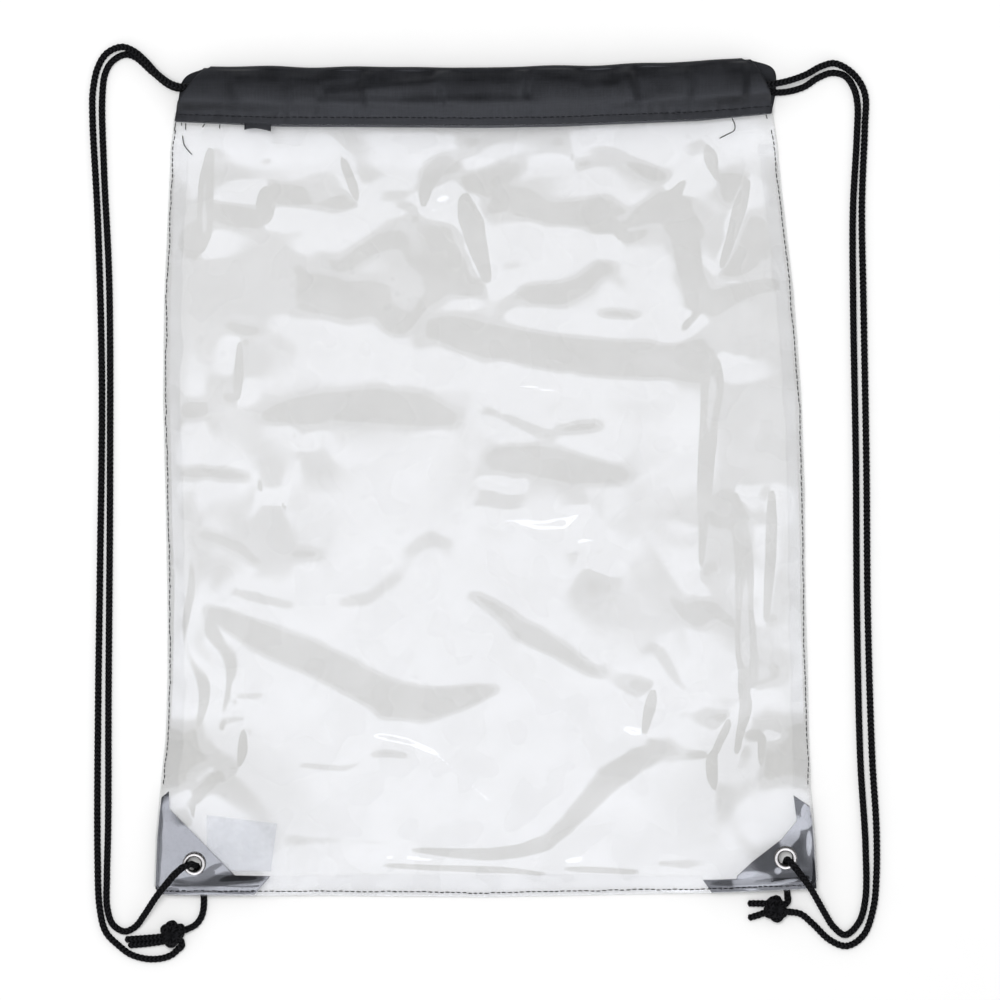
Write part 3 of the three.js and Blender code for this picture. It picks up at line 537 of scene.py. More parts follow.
# The room that the sheets mirror, by the tangent of the angle from straight up: where the lamp fades to
# the ceiling, where the ceiling ends towards the mouth and to the sides, where the walls start, and the edges
# of a bright spot.
LAMP_EDGE = (-0.08, 0.04)
CEILING_END = (0.12, 0.15)
CEILING_SIDE = (0.6, 0.68)
WALL_START = (2.6, 3.2)
SPOT_NEAR = (-1.18, -1.10)
SPOT_FAR = (-0.86, -0.80)
SPOT_SIDE = (0.5, 0.6)
SPOT_LIGHT = 4.5
WALL_LIGHT = 0.85
LOWEST_RAY = 0.02
ROOM_COLOUR = (0.91, 0.94, 1.05, 1.0)

# Floor, camera and the lamp that casts the shadows, in metres; the sensor is in millimetres.
FLOOR_SIZE = 8.0
SENSOR_WIDTH = 36.0
VIEW_END = 20.0
VIEW_MIDDLE = (0.0072, -0.0113)
VIEW_LEVEL = 0.006
KEY_SIZE = 0.9
KEY_PLACE = (-0.16, 0.2, 2.0)

# Seam allowances inside the bag.
SEAM_GRID = (190, 7)
SEAM_WIDTH = 9.0
SEAM_INSET = 0.6
SIDE_SEAM_LOW = -159.5
SIDE_SEAM_HIGH = 172.0
BOTTOM_SEAM_TOP = -204.0
BOTTOM_SEAM_INSET = 0.7
BOTTOM_SEAM_LEFT = (-118.3, -110.0)
BOTTOM_SEAM_RIGHT = (116.4, 110.7)

# Rows of stitches: where they start and end, how far they lie from the edge, and the gap between stitches
# and the seed of each row.
SIDE_STITCHES = (-158.0, 180.0)
BOTTOM_STITCHES = (-166.0, 166.0)
HEM_STITCHES = (-159.0, 146.0)
SIDE_STITCH_INSET = 1.4
BOTTOM_STITCH_INSET = 2.6
STITCH_LIFT = 0.1
HEM_STITCH_LIFT = 3.62
STITCH_ROWS = {"left": (0.3, 13), "right": (0.3, 14), "bottom": (0.4, 15), "hem": (0.6, 12)}
SEAM_POINTS = 300

# One stitch: its length in shares of the set one, and how it bows, dips and wanders.
STITCH_START = 0.4
STITCH_LENGTHS = (0.86, 1.12)
STITCH_POINTS = 5
STITCH_BOW = 1.5
STITCH_DIP = 0.5
STITCH_WANDER = 0.08
THREAD_SIDES = 6

# Thread ends that hang from the casing's hem, as x, y on the front sheet.
THREAD_ENDS = [
    [(126.2, 184.8), (127.8, 181), (127.4, 178.4), (124, 176.4), (119.8, 174.2)],
    [(-159.4, 183), (-159.8, 180.6), (-160.2, 178.2)],
    [(-156.4, 182.6), (-156.5, 180.8)],
    [(-154.2, 182.4), (-154.4, 178.8)],
    [(-151, 166), (-155, 171), (-156, 176)],
    [(-144.2, 182), (-145.6, 180)],
    [(-136.4, 181.8), (-136.8, 179.2)],
    [(143.8, 187), (144.6, 184.4)],
]
THREAD_END_LIFT = 0.5
THREAD_END_SPACING = 0.4

# The hem's end under the casing: its sides and heights, and the depth, bend and start of its curved edge.
HEM_TAB = [(-123.9, -110.2), (178.0, 184.0)]
HEM_TAB_CURVE = (1.2, 3.1, 0.4)
HEM_TAB_GRID = (15, 8)
HEM_TAB_Z = 2.06
HEM_TAB_DROOP = 0.25
HEM_TAB_WALL = 0.26


class BagSizes(bpy.types.PropertyGroup):
    """Sizes of the dressed bag."""

    sheet_thickness: bpy.props.FloatProperty(
        name="Sheet thickness", description="Thickness of the clear sheet", default=0.0004,
        unit="LENGTH")
    cloth_thickness: bpy.props.FloatProperty(
        name="Cloth thickness", description="Thickness of the casing and patches", default=0.0005,
        unit="LENGTH")
    cord_diameter: bpy.props.FloatProperty(
        name="Cord diameter", description="Diameter of the braided drawcords", default=0.0034,
        unit="LENGTH")
    thread_diameter: bpy.props.FloatProperty(
        name="Thread diameter", description="Diameter of the sewing thread", default=0.0005,
        unit="LENGTH")
    stitch_length: bpy.props.FloatProperty(
        name="Stitch length", description="Length of one stitch", default=0.0026, unit="LENGTH")
    fold_strength: bpy.props.FloatProperty(
        name="Folds", description="How strongly the front sheet is folded", default=1.0,
        min=0.0, max=2.0, subtype="FACTOR")
    wrinkle_strength: bpy.props.FloatProperty(
        name="Wrinkles", description="How strongly the sheets are wrinkled", default=1.0,
        min=0.0, max=2.0, subtype="FACTOR")


class BagColours(bpy.types.PropertyGroup):
    """Colours of the bag's materials."""

    cloth: bpy.props.FloatVectorProperty(
        name="Cloth", description="Casing and corner patches", default=(0.0125, 0.0132, 0.0155),
        min=0.0, max=1.0, subtype="COLOR")
    cord: bpy.props.FloatVectorProperty(
        name="Cord", description="Braided drawcords", default=(0.0032, 0.0032, 0.0036),
        min=0.0, max=1.0, subtype="COLOR")
    thread: bpy.props.FloatVectorProperty(
        name="Thread", description="Sewing thread", default=(0.0025, 0.0025, 0.0035),
        min=0.0, max=1.0, subtype="COLOR")
    metal: bpy.props.FloatVectorProperty(
        name="Eyelets", description="Plated eyelets", default=(0.53, 0.505, 0.465),
        min=0.0, max=1.0, subtype="COLOR")
    label: bpy.props.FloatVectorProperty(
        name="Label", description="Woven label", default=(0.80, 0.82, 0.88),
        min=0.0, max=1.0, subtype="COLOR")


class StageSettings(bpy.types.PropertyGroup):
    """The floor, the light and the camera."""

    camera_distance: bpy.props.FloatProperty(
        name="Camera distance", description="Height of the camera over the bag", default=2.4,
        unit="LENGTH")
    view_width: bpy.props.FloatProperty(
        name="View width", description="Width of the picture at the bag", default=0.514,
        unit="LENGTH")
    fill: bpy.props.FloatProperty(
        name="Fill", description="Strength of the even light", default=0.62, min=0.0)
    key: bpy.props.FloatProperty(
        name="Key", description="Power of the lamp that casts the shadows", default=24.0,
        unit="POWER")
    lamp: bpy.props.FloatProperty(
        name="Lamp", description="Brightness of the large lamp in the reflections", default=2.3,
        min=0.0)
    ceiling: bpy.props.FloatProperty(
        name="Ceiling", description="Brightness of the ceiling in the reflections", default=0.74,
        min=0.0)


def smooth(low, high, value):
    """0 below low, 1 above high, eased between."""
    t = np.clip((value - low) / (high - low), 0, 1)
    return t * t * (3 - 2 * t)


def between(values, key, column, at):
    """A table's column at values of its key column."""
    return np.interp(at, values[key], values[column])


def mix(a, b, share):
    """The value at a share of the way from a to b."""
    return a + (b - a) * share


def ripples(x, y, seed, count, shortest, longest, across=1.0, along=1.0):
    """Waves in many directions, about 1 high; across and along crowd them."""
    draw = np.random.default_rng(seed)
    total = np.zeros(np.shape(x))
    for _ in range(count):
        angle = draw.uniform(0, 2 * math.pi)
        length = draw.uniform(shortest, longest)
        phase = draw.uniform(0, 2 * math.pi)
        way = x * math.cos(angle) * across + y * math.sin(angle) * along
        total = total + np.sin(2 * math.pi * way / length + phase)
    return total / math.sqrt(count)


def waves(name, x, y):
    """Ripples of the table above, in millimetres."""
    height, *shape = RIPPLES[name]
    return height * ripples(x, y, *shape)


def crowded(count):
    """Shares from 0 to 1, closer together towards both ends."""
    even = np.linspace(0, 1, count + 1)
    return mix(even, (1 - np.cos(math.pi * even)) / 2, GRID_CROWDING)


def corner_share(x, y):
    """1 on the flat part of a lifted corner, 0 on the rest of the bag."""
    shares = [
        1 - smooth(CORNER_FLAT_RADIUS, CORNER_END_RADIUS, np.hypot(x - ex, y - ey))
        for ex, ey in EYELETS.values()
    ]
    return np.maximum(*shares)


def corner_ring(x, y):
    """1 on a ring round each lifted corner, where the sheet hangs between corner and body."""
    rings = []
    for ex, ey in EYELETS.values():
        away = np.hypot(x - ex, y - ey)
        rings.append(smooth(*SHOULDER_RISE, away) * (1 - smooth(*SHOULDER_FALL, away)))
    return np.maximum(*rings)


def beside_eyelet(x, y):
    """0 under the left eyelet's flange, 1 away from it."""
    mid_x, mid_y = EYELETS["left"]
    return smooth(*FLANGE_EASE, np.hypot(x - mid_x, y - mid_y))


def cling_share(side, x, y):
    """1 where the clear sheet clings to a corner patch and shines with it, 0 where it stands off."""
    share = np.zeros(x.shape)
    wave = waves("oval_rim", x, y)
    for mid_x, mid_y, half_x, half_y, turn in PATCH_OVALS[side]:
        angle = math.radians(turn)
        u = (x - mid_x) * math.cos(angle) + (y - mid_y) * math.sin(angle)
        v = (y - mid_y) * math.cos(angle) - (x - mid_x) * math.sin(angle)
        share = np.maximum(share, 1 - smooth(*OVAL_RIM, np.hypot(u / half_x, v / half_y) + wave))
    return 1 - share if side == "left" else share


def mouth_share(x):
    """How open the mouth is along its width."""
    across = 2 * (x - MOUTH_LEFT) / (MOUTH_RIGHT - MOUTH_LEFT) - 1
    return 1 - np.minimum(1, np.abs(across) ** MOUTH_POWER)


def front_casing_z(x, share):
    """Height of the front casing's flat ply."""
    edge = mix(MOUTH_SEAM_Z, MOUTH_MIDDLE_Z, mouth_share(x))
    tunnel = mix(MOUTH_END_Z, MOUTH_MIDDLE_Z, mouth_share(x))
    return mix(edge, tunnel, smooth(HEM_SHARE, TUNNEL_SHARE, share))


def back_casing_z(x, share):
    """Height of the rear casing's flat ply, which lies on the floor."""
    return 0 * x * share


def fold_height(x, y, slope, line, reach):
    """A fold along a line: the sheet steps down to the line's left and eases back on both sides."""
    points = np.array(line, float)
    halves = FOLD_SPREAD * points[:, 2]
    spans = np.hypot(*np.diff(points[:, :2], axis=0).T)
    starts = np.concatenate([[0], np.cumsum(spans)])
    weight = np.zeros_like(x)
    signed = np.zeros_like(x)
    along = np.zeros_like(x)
    nearest = np.full(x.shape, np.inf)
    for i, span in enumerate(spans):
        way = (points[i + 1, :2] - points[i, :2]) / span
        dx = x - points[i, 0]
        dy = y - points[i, 1]
        run = np.clip(dx * way[0] + dy * way[1], 0, span)
        far = np.hypot(dx - run * way[0], dy - run * way[1])
        side = way[0] * dy - way[1] * dx
        pull = 1 / (far + FOLD_BLEND) ** FOLD_BLEND_POWER
        weight += pull
        signed += pull * np.sign(side) * far
        along += pull * (starts[i] + run)
        nearest = np.minimum(nearest, far)
    signed /= weight
    along /= weight
    half = np.interp(along, starts, halves)
    ease = min(FOLD_END_SHARE * starts[-1], halves.max())
    ends = smooth(0, ease, along) * smooth(0, ease, starts[-1] - along)
    t = np.clip(signed / half, -1, 1)
    # The sum of (1 - t * t) ** 2, so that the slope fades towards both sides.
    step = t - 2 * t ** 3 / 3 + t ** 5 / 5
    return -slope * half * step * np.exp(-((nearest / (reach * half)) ** 2)) * ends


def folded(x, y, folds, reach=FOLD_REACH):
    """Height of a list of folds, each reckoned only near its line."""
    relief = np.zeros_like(x)
    for slope, line in folds:
        points = np.array(line, float)
        margin = FOLD_MARGIN * reach * FOLD_SPREAD * points[:, 2].max()
        near = (x > points[:, 0].min() - margin) & (x < points[:, 0].max() + margin)
        near &= (y > points[:, 1].min() - margin) & (y < points[:, 1].max() + margin)
        relief[near] += fold_height(x[near], y[near], slope, line, reach)
    return relief


def panel_grid(columns, rows):
    """Points of the bag seen from above, rows from the bottom seam to the tucked upper edge."""
    along, across = np.meshgrid(crowded(rows), crowded(columns), indexing="ij")
    level = mix(EDGES["y"][0], EDGES["y"][-1], along)
    left = between(EDGES, "y", "left", level)
    right = between(EDGES, "y", "right", level)
    x = mix(left, right, across)
    bottom = between(BOTTOM, "x", "y", x)
    top = between(CASING, "x", "low", x) + CASING_TUCK
    return x, mix(bottom, top, along), across, along


def back_z(x, y, along):
    """Underside of the rear sheet."""
    return CORNER_LIFT * corner_share(x, y) + LAYER * smooth(TUCK_START, TUCK_END, along)


def edge_roll(x, y, across, along):
    """1 at the sewn edges of the bag, 0 away from them."""
    width = between(EDGES, "y", "right", y) - between(EDGES, "y", "left", y)
    side = np.minimum(across, 1 - across) * width
    low = y - between(BOTTOM, "x", "y", x)
    return np.exp(-((np.minimum(side, low) / ROLL_REACH) ** 2)) * (1 - smooth(*ROLL_END, along))


def front_z(x, y, across, along, sizes):
    """Underside of the front sheet with its folds and wrinkles."""
    from_side = np.minimum(across, 1 - across)
    seam = back_z(x, y, along) + 2 * LAYER
    dome = (1 - np.abs(2 * across - 1) ** DOME_POWER) * smooth(0, BOTTOM_SLOPE, along)
    inside = smooth(0, FADE_SIDE, from_side)
    inside = inside * smooth(0, FADE_BOTTOM, along) * smooth(0, FADE_TOP, 1 - along)
    relief = sizes.fold_strength * (folded(x, y, FOLDS) + folded(x, y, GLINTS, GLINT_REACH))
    margin = 1 - smooth(*LEFT_MARGIN, across) + smooth(*RIGHT_MARGIN, across)
    corner = smooth(*CRINKLES_ACROSS, across) * (1 - smooth(*CRINKLES_ALONG, along))
    drift = waves("drift", x, y)
    relief += sizes.wrinkle_strength * (
        waves("swell", x, y)
        + margin * waves("margin_crinkles", x + drift, y)
        + smooth(*PLEATS_ALONG, along) * waves("mouth_pleats", x, y)
        + corner * waves("corner_crinkles", x + drift, y - drift))
    shoulder = CORNER_SHOULDER * corner_ring(x, y)
    shoulder = shoulder * smooth(0, SHOULDER_SIDE, from_side) * smooth(0, SHOULDER_BOTTOM, along)
    low = seam + (BODY_RISE * dome + relief * inside + shoulder) * (1 - corner_share(x, y))
    low = low + sizes.fold_strength * folded(x, y, CORNER_FOLDS) * beside_eyelet(x, y)
    casing = front_casing_z(x, 0) + LAYER
    rise = np.clip((along - MOUTH_SLOPE_START) / (TUCK_END - MOUTH_SLOPE_START), 0, 1)
    return mix(low, casing, rise ** 2) + FRONT_LIFT - FRONT_ROLL * edge_roll(x, y, across, along)


def new_object(name, points, faces, uv=None, flat=()):
    """A mesh object from points in millimetres, with a UV map in millimetres."""
    mesh = bpy.data.meshes.new(name)
    mesh.from_pydata((np.asarray(points) * MM).tolist(), [], [list(face) for face in faces])
    mesh.polygons.foreach_set("use_smooth", np.ones(len(mesh.polygons), bool))
    for index in flat:
        mesh.polygons[index].use_smooth = False
    if uv is not None:
        corners = np.zeros(len(mesh.loops), np.int32)
        mesh.loops.foreach_get("vertex_index", corners)
        layer = mesh.uv_layers.new(name="millimetres")
        layer.data.foreach_set("uv", np.asarray(uv, np.float32)[corners].ravel())
    mesh.update()
    made = bpy.data.objects.new(name, mesh)
    bpy.context.scene.collection.objects.link(made)
    return made


def sheet_parts(lower, upper, keep=None):
    """Points, faces, number of skin faces and each point's place in the grid, for a closed sheet."""
    rows, columns = lower.shape[:2]
    count = rows * columns
    index = np.arange(count).reshape(rows, columns)
    if keep is None:
        keep = np.ones((rows - 1, columns - 1), bool)
    a, b = index[:-1, :-1][keep], index[:-1, 1:][keep]
    c, d = index[1:, 1:][keep], index[1:, :-1][keep]
    faces = [np.stack([a, b, c, d], 1) + count, np.stack([a, d, c, b], 1)]
    skins = 2 * len(a)
    framed = np.pad(keep, 1)
    low, high = framed[:-1, 1:-1], framed[1:, 1:-1]
    left, right = framed[1:-1, :-1], framed[1:-1, 1:]
    for chosen, start, end in (
        (high & ~low, index[:, :-1], index[:, 1:]),
        (low & ~high, index[:, 1:], index[:, :-1]),
        (right & ~left, index[1:, :], index[:-1, :]),
        (left & ~right, index[:-1, :], index[1:, :]),
    ):
        p, q = start[chosen], end[chosen]
        faces.append(np.stack([p, q, q + count, p + count], 1))
    points = np.concatenate([lower.reshape(-1, 3), upper.reshape(-1, 3)])
    faces = np.concatenate(faces)
    used = np.unique(faces)
    place = np.zeros(2 * count, int)
    place[used] = np.arange(len(used))
    return points[used], place[faces], skins, used % count


def closed_sheet(name, lower, upper, uv, keep=None):
    """A closed thin sheet as an object; its rim is shaded flat."""
    points, faces, skins, origin = sheet_parts(lower, upper, keep)
    return new_object(name, points, faces, uv.reshape(-1, 2)[origin], range(skins, len(faces)))


def joined_sheets(name, sheets):
    """Several closed sheets as one object: each is (lower, upper, uv)."""
    points, faces, uvs, flat, base, first = [], [], [], [], 0, 0
    for lower, upper, uv in sheets:
        part, quads, skins, origin = sheet_parts(lower, upper)
        points.append(part)
        faces.append(quads + base)
        uvs.append(uv.reshape(-1, 2)[origin])
        flat.extend(range(first + skins, first + len(quads)))
        base += len(part)
        first += len(quads)
    return new_object(name, np.concatenate(points), np.concatenate(faces), np.concatenate(uvs), flat)


def stacked(x, y, z):
    """Points from their three coordinates."""
    return np.stack(np.broadcast_arrays(x, y, z), -1).astype(float)


def plies(x, y, low, wall):
    """Lower and upper points of a sheet of one thickness, and its UV map as seen from above."""
    return stacked(x, y, low), stacked(x, y, low + wall), np.stack([x, y], -1)


def run_of(path):
    """Length along a path at each of its points."""
    return np.concatenate([[0], np.cumsum(np.linalg.norm(np.diff(path, axis=0), axis=1))])


def eyelet_cut(x, y):
    """Cells of a grid outside the eyelets' holes, with the grid's points drawn to their rims."""
    keep = np.ones((x.shape[0] - 1, x.shape[1] - 1), bool)
    x, y = x.copy(), y.copy()
    for ex, ey in EYELETS.values():
        mid_x = (x[:-1, :-1] + x[1:, 1:]) / 2
        mid_y = (y[:-1, :-1] + y[1:, 1:]) / 2
        inside = np.hypot(mid_x - ex, mid_y - ey) < EYELET_HOLE_RADIUS
        keep &= ~inside
        framed = np.pad(inside, 1)
        touching = framed[:-1, :-1] | framed[1:, :-1] | framed[:-1, 1:] | framed[1:, 1:]
        all_inside = framed[:-1, :-1] & framed[1:, :-1] & framed[:-1, 1:] & framed[1:, 1:]
        rim = touching & ~all_inside
        angle = np.arctan2(y - ey, x - ex)
        x[rim] = ex + EYELET_HOLE_RADIUS * np.cos(angle[rim])
        y[rim] = ey + EYELET_HOLE_RADIUS * np.sin(angle[rim])
    return x, y, keep


def through(points, spacing):
    """Points at even spacing on a smooth curve through a list of points."""
    given = np.array(points, float)
    ends = np.concatenate([[2 * given[0] - given[1]], given, [2 * given[-1] - given[-2]]])
    gaps = np.maximum(np.linalg.norm(np.diff(ends, axis=0), axis=1), TINY) ** 0.5
    fine = []
    for i in range(len(given) - 1):
        p0, p1, p2, p3 = ends[i:i + 4]
        d0, d1, d2 = gaps[i:i + 3]
        m1 = d1 * ((p1 - p0) / d0 - (p2 - p0) / (d0 + d1)) + (p2 - p1)
        m2 = d1 * ((p3 - p2) / d2 - (p3 - p1) / (d1 + d2)) + (p2 - p1)
        steps = max(CURVE_LEAST_STEPS, int(np.linalg.norm(p2 - p1) / spacing * CURVE_FINENESS))
        t = np.linspace(0, 1, steps, endpoint=False)[:, None]
        fine.append(
            (2 * t ** 3 - 3 * t ** 2 + 1) * p1 + (t ** 3 - 2 * t ** 2 + t) * m1
            + (3 * t ** 2 - 2 * t ** 3) * p2 + (t ** 3 - t ** 2) * m2)
    fine = np.concatenate(fine + [given[-1:]])
    run = run_of(fine)
    even = np.linspace(0, run[-1], max(CURVE_LEAST_POINTS, int(run[-1] / spacing)))
    return np.stack([np.interp(even, run, fine[:, k]) for k in range(3)], 1)


def tube_parts(path, radius, sides, relief=None, round_ends=True):
    """Points, faces and UV of a closed tube along a path; relief gives the radius by run and angle."""
    ways = np.gradient(path, axis=0)
    ways /= np.linalg.norm(ways, axis=1)[:, None]
    side = np.cross(ways[0], (0, 0, 1.0))
    if np.linalg.norm(side) < UPRIGHT:
        side = np.cross(ways[0], (0, 1.0, 0))
    sides_at = []
    for way in ways:
        side = side - way * side.dot(way)
        side = side / np.linalg.norm(side)
        sides_at.append(side)
    u = np.array(sides_at)
    v = np.cross(ways, u)
    run = run_of(path)
    angle = np.linspace(0, 2 * math.pi, sides, endpoint=False)
    size = np.full((len(path), sides), radius)
    if relief is not None:
        size = relief(run[:, None], angle[None, :])
    if round_ends:
        from_end = np.minimum(run, run[-1] - run)
        closing = np.clip(from_end / (TUBE_END * radius), 0, 1)
        size = size * np.sqrt(np.maximum(1 - (1 - closing) ** 2, TUBE_TIP))[:, None]
    rings = (path[:, None, :] + size[..., None] * (
        np.cos(angle)[None, :, None] * u[:, None, :] + np.sin(angle)[None, :, None] * v[:, None, :]))
    count = len(path)
    points = np.concatenate([rings.reshape(-1, 3), path[:1], path[-1:]])
    index = np.arange(count * sides).reshape(count, sides)
    turned = np.roll(index, -1, axis=1)
    faces = np.stack([index[:-1], turned[:-1], turned[1:], index[1:]], -1).reshape(-1, 4).tolist()
    first, last = count * sides, count * sides + 1
    faces += [[first, b, a] for a, b in zip(index[0], turned[0])]
    faces += [[last, a, b] for a, b in zip(index[-1], turned[-1])]
    uv = np.stack(np.broadcast_arrays(run[:, None], angle[None, :] * radius), -1).reshape(-1, 2)
    uv = np.concatenate([uv, [[run[0], 0]], [[run[-1], 0]]])
    return points, faces, uv


def joined_tubes(name, tubes):
    """Several tubes as one object."""
    points, faces, uvs, base = [], [], [], 0
    for part, quads, uv in tubes:
        points.append(part)
        faces += [[corner + base for corner in quad] for quad in quads]
        uvs.append(uv)
        base += len(part)
    return new_object(name, np.concatenate(points), faces, np.concatenate(uvs))


def braid(radius):
    """Radius of a braided cord: rows of plaits that stand proud by turns."""
    def relief(run, angle):
        """Radius by the way along the cord and round it."""
        plait = np.cos(BRAID_COLUMNS * angle) * np.cos(2 * math.pi * run / BRAID_PITCH)
        return radius * (BRAID_MEAN + BRAID_RELIEF * plait)
    return relief


def casing_run(from_x, turn_x, lane):
    """A drawcord's way through the front casing, round the far end and back through the rear one."""
    middle = PLY_WALL + TUNNEL_HEIGHT / 2
    away = math.copysign(1, turn_x)
    stations = list(np.linspace(from_x, turn_x - away * TURN_LEAD, RUN_STEPS + 1)) + [turn_x]

    def at(x, z):
        """A point of the cord's lane."""
        low = between(CASING, "x", "low", x)
        high = between(CASING, "x", "high", x)
        return (x, mix(low, high, RUN_SHARE) + lane, z)

    front = [at(x, front_casing_z(x, RUN_SHARE) + middle) for x in stations]
    back = [at(x, middle) for x in reversed(stations)]
    radius = (front[-1][2] - middle) / 2
    turn = [
        (turn_x + away * radius * math.sin(math.pi * share), back[0][1],
         middle + radius * (1 + math.cos(math.pi * share)))
        for share in TURN_SHARES
    ]
    return front + turn + back


def eased(values):
    """A row of values with its corners rounded off; both ends stay."""
    for _ in range(EASE_ROUNDS):
        inner = (values[:-2] + 2 * values[1:-1] + values[2:]) / 4
        values = np.concatenate([values[:1], inner, values[-1:]])
    return values


def casing_skins(side, inner_ply, flat_z, cover):
    """Outer and tunnel-side points of a casing, its shares of the height, its plies and a UV map."""
    columns, rows = CASING_GRID
    fine = np.linspace(0, 1, rows)
    given = np.linspace(0, 1, len(SECTION["ply"]))
    ends_left = between(CASING_ENDS, "share", f"{side}_left", SECTION["out_share"])
    ends_right = between(CASING_ENDS, "share", f"{side}_right", SECTION["out_share"])
    pull = np.where(SECTION["ply"] == inner_ply, 1.0, np.where(SECTION["ply"] == 1, FOLD_PULL, 0.0))
    left = mix(ends_left, INNER_PLY_LEFT, pull)
    right = mix(ends_right, INNER_PLY_RIGHT, pull)
    across = np.linspace(0, 1, columns)
    starts = eased(np.interp(fine, given, left))[:, None]
    stops = eased(np.interp(fine, given, right))[:, None]
    x = mix(starts, stops, across[None, :])
    low = between(CASING, "x", "low", x)
    high = between(CASING, "x", "high", x) + waves("casing_fold", x, 0 * x)
    out_share, in_share, out_off, in_off = (
        eased(np.interp(fine, given, SECTION[name]))[:, None]
        for name in ("out_share", "in_share", "out", "inside"))
    ply = np.interp(fine, given, SECTION["ply"])[:, None]
    outer = stacked(x, mix(low, high, out_share), flat_z(x, out_share) + out_off)
    tunnel = stacked(x, mix(low, high, in_share), flat_z(x, in_share) + in_off)
    tunnel = outer + (tunnel - outer) * cover
    section = run_of(np.concatenate([out_share * CASING_HEIGHT, out_off], 1))
    uv = np.stack(np.broadcast_arrays(x, section[:, None]), -1)
    return outer, tunnel, out_share, ply, uv


def cloth_relief(x, y, share):
    """Height of the casing's wrinkles, puckers and hem line."""
    height = share * CASING_HEIGHT
    body = mix(HEM_WRINKLES, 1, smooth(HEM_STITCH_SHARE, CASING_BODY_SHARE, share))
    beside_hem = np.exp(-(((share - PUCKER_SHARE) / PUCKER_SPREAD) ** 2))
    on_hem = np.exp(-(((share - HEM_STITCH_SHARE) / HEM_SPREAD) ** 2))
    wrinkles = body * waves("casing_wrinkles", x, height) + beside_hem * waves("hem_puckers", x, height)
    return wrinkles - HEM_DEPTH * on_hem + folded(x, y, CASING_FOLDS)


def stitch_tubes(path, radius, length, gap, seed):
    """Single stitches along a path, each a short bowed thread that dips at its ends."""
    draw = np.random.default_rng(seed)
    run = run_of(path)
    made = []
    at = STITCH_START
    while at + length < run[-1]:
        long = length * draw.uniform(*STITCH_LENGTHS)
        shares = np.linspace(0, 1, STITCH_POINTS)
        spots = np.stack([np.interp(at + shares * long, run, path[:, k]) for k in range(3)], 1)
        spots[:, 2] += radius * (STITCH_BOW * np.sin(math.pi * shares) - STITCH_DIP)
        spots[:, 0] += draw.normal(0, STITCH_WANDER)
        spots[:, 1] += draw.normal(0, STITCH_WANDER)
        made.append(tube_parts(spots, radius, THREAD_SIDES))
        at += long + gap
    return made


def shader(name, coordinate):
    """A new node material, its tree with an output, and the coordinates of its patterns."""
    made = bpy.data.materials.new(name)
    made.use_nodes = True
    tree = made.node_tree
    tree.nodes.clear()
    tree.nodes.new("ShaderNodeOutputMaterial")
    return made, tree, add(tree, "ShaderNodeTexCoord").outputs[coordinate]


def add(tree, kind, inputs=None, **settings):
    """A node with its settings; an input is a value or a socket to link from."""
    made = tree.nodes.new(kind)
    for key, value in settings.items():
        setattr(made, key, value)
    for key, value in (inputs or {}).items():
        if isinstance(value, bpy.types.NodeSocket):
            tree.links.new(value, made.inputs[key])
        else:
            made.inputs[key].default_value = value
    return made


def surface(tree, socket):
    """Link a shader to the tree's output."""
    output = next(n for n in tree.nodes if n.type in {"OUTPUT_MATERIAL", "OUTPUT_WORLD"})
    tree.links.new(socket, output.inputs["Surface"])


def math_node(tree, operation, a, b=0.0, c=0.0):
    """The result of a sum; each term is a value or a socket."""
    return add(tree, "ShaderNodeMath", {0: a, 1: b, 2: c}, operation=operation).outputs[0]


def ranged(tree, value, low, high, to_low, to_high):
    """A value eased from one range to another."""
    made = add(tree, "ShaderNodeMapRange", {
        "Value": value, "From Min": low, "From Max": high, "To Min": to_low, "To Max": to_high,
    }, interpolation_type="SMOOTHSTEP")
    return made.outputs["Result"]


def colour(rgb, share=1.0):
    """A colour for a socket, made lighter or darker by a share."""
    return (rgb[0] * share, rgb[1] * share, rgb[2] * share, 1.0)


def noise(tree, place, scale, detail):
    """A cloudy pattern from 0 to 1."""
    made = add(tree, "ShaderNodeTexNoise", {"Vector": place, "Scale": scale, "Detail": detail})
    return made.outputs["Fac"]


def bands(tree, place, scale, distortion=0.0, detail=2.0, direction="X"):
    """A pattern of soft stripes from 0 to 1."""
    made = add(tree, "ShaderNodeTexWave", {
        "Vector": place, "Scale": scale, "Distortion": distortion, "Detail": detail,
    }, bands_direction=direction)
    return made.outputs["Fac"]


def toned(tree, share, low, high):
    """A colour between two, by a share."""
    made = add(tree, "ShaderNodeMix", {"Factor": share, MIX_LOW: low, MIX_HIGH: high}, data_type="RGBA")
    return made.outputs[MIX_RESULT]


def raised(tree, height, strength, distance):
    """Normals that follow a pattern's height."""
    made = add(tree, "ShaderNodeBump", {"Strength": strength, "Distance": distance, "Height": height})
    return made.outputs["Normal"]


def clear_sheet_material(name, gloss, tint, mirrored=SHEET_MIRROR):
    """Clear PVC: it lets light through and mirrors the room, more so at a low angle."""
    made, tree, place = shader(name, "Object")
    smear = noise(tree, place, 45.0, 1.0)
    rough = ranged(tree, smear, 0.35, 0.7, *gloss)
    facing = add(tree, "ShaderNodeLayerWeight", {"Blend": 0.5}).outputs["Facing"]
    schlick = math_node(tree, "POWER", facing, 5.0)
    share = math_node(tree, "MULTIPLY_ADD", schlick, 1 - mirrored, mirrored)
    haze = toned(tree, smear, colour(tint), colour(tint, 0.985))
    clear = add(tree, "ShaderNodeBsdfTransparent", {"Color": haze})
    mirror = add(tree, "ShaderNodeBsdfGlossy", {"Color": WHITE, "Roughness": rough})
    blend = add(tree, "ShaderNodeMixShader", {0: share, 1: clear.outputs[0], 2: mirror.outputs[0]})
    surface(tree, blend.outputs[0])
    return made


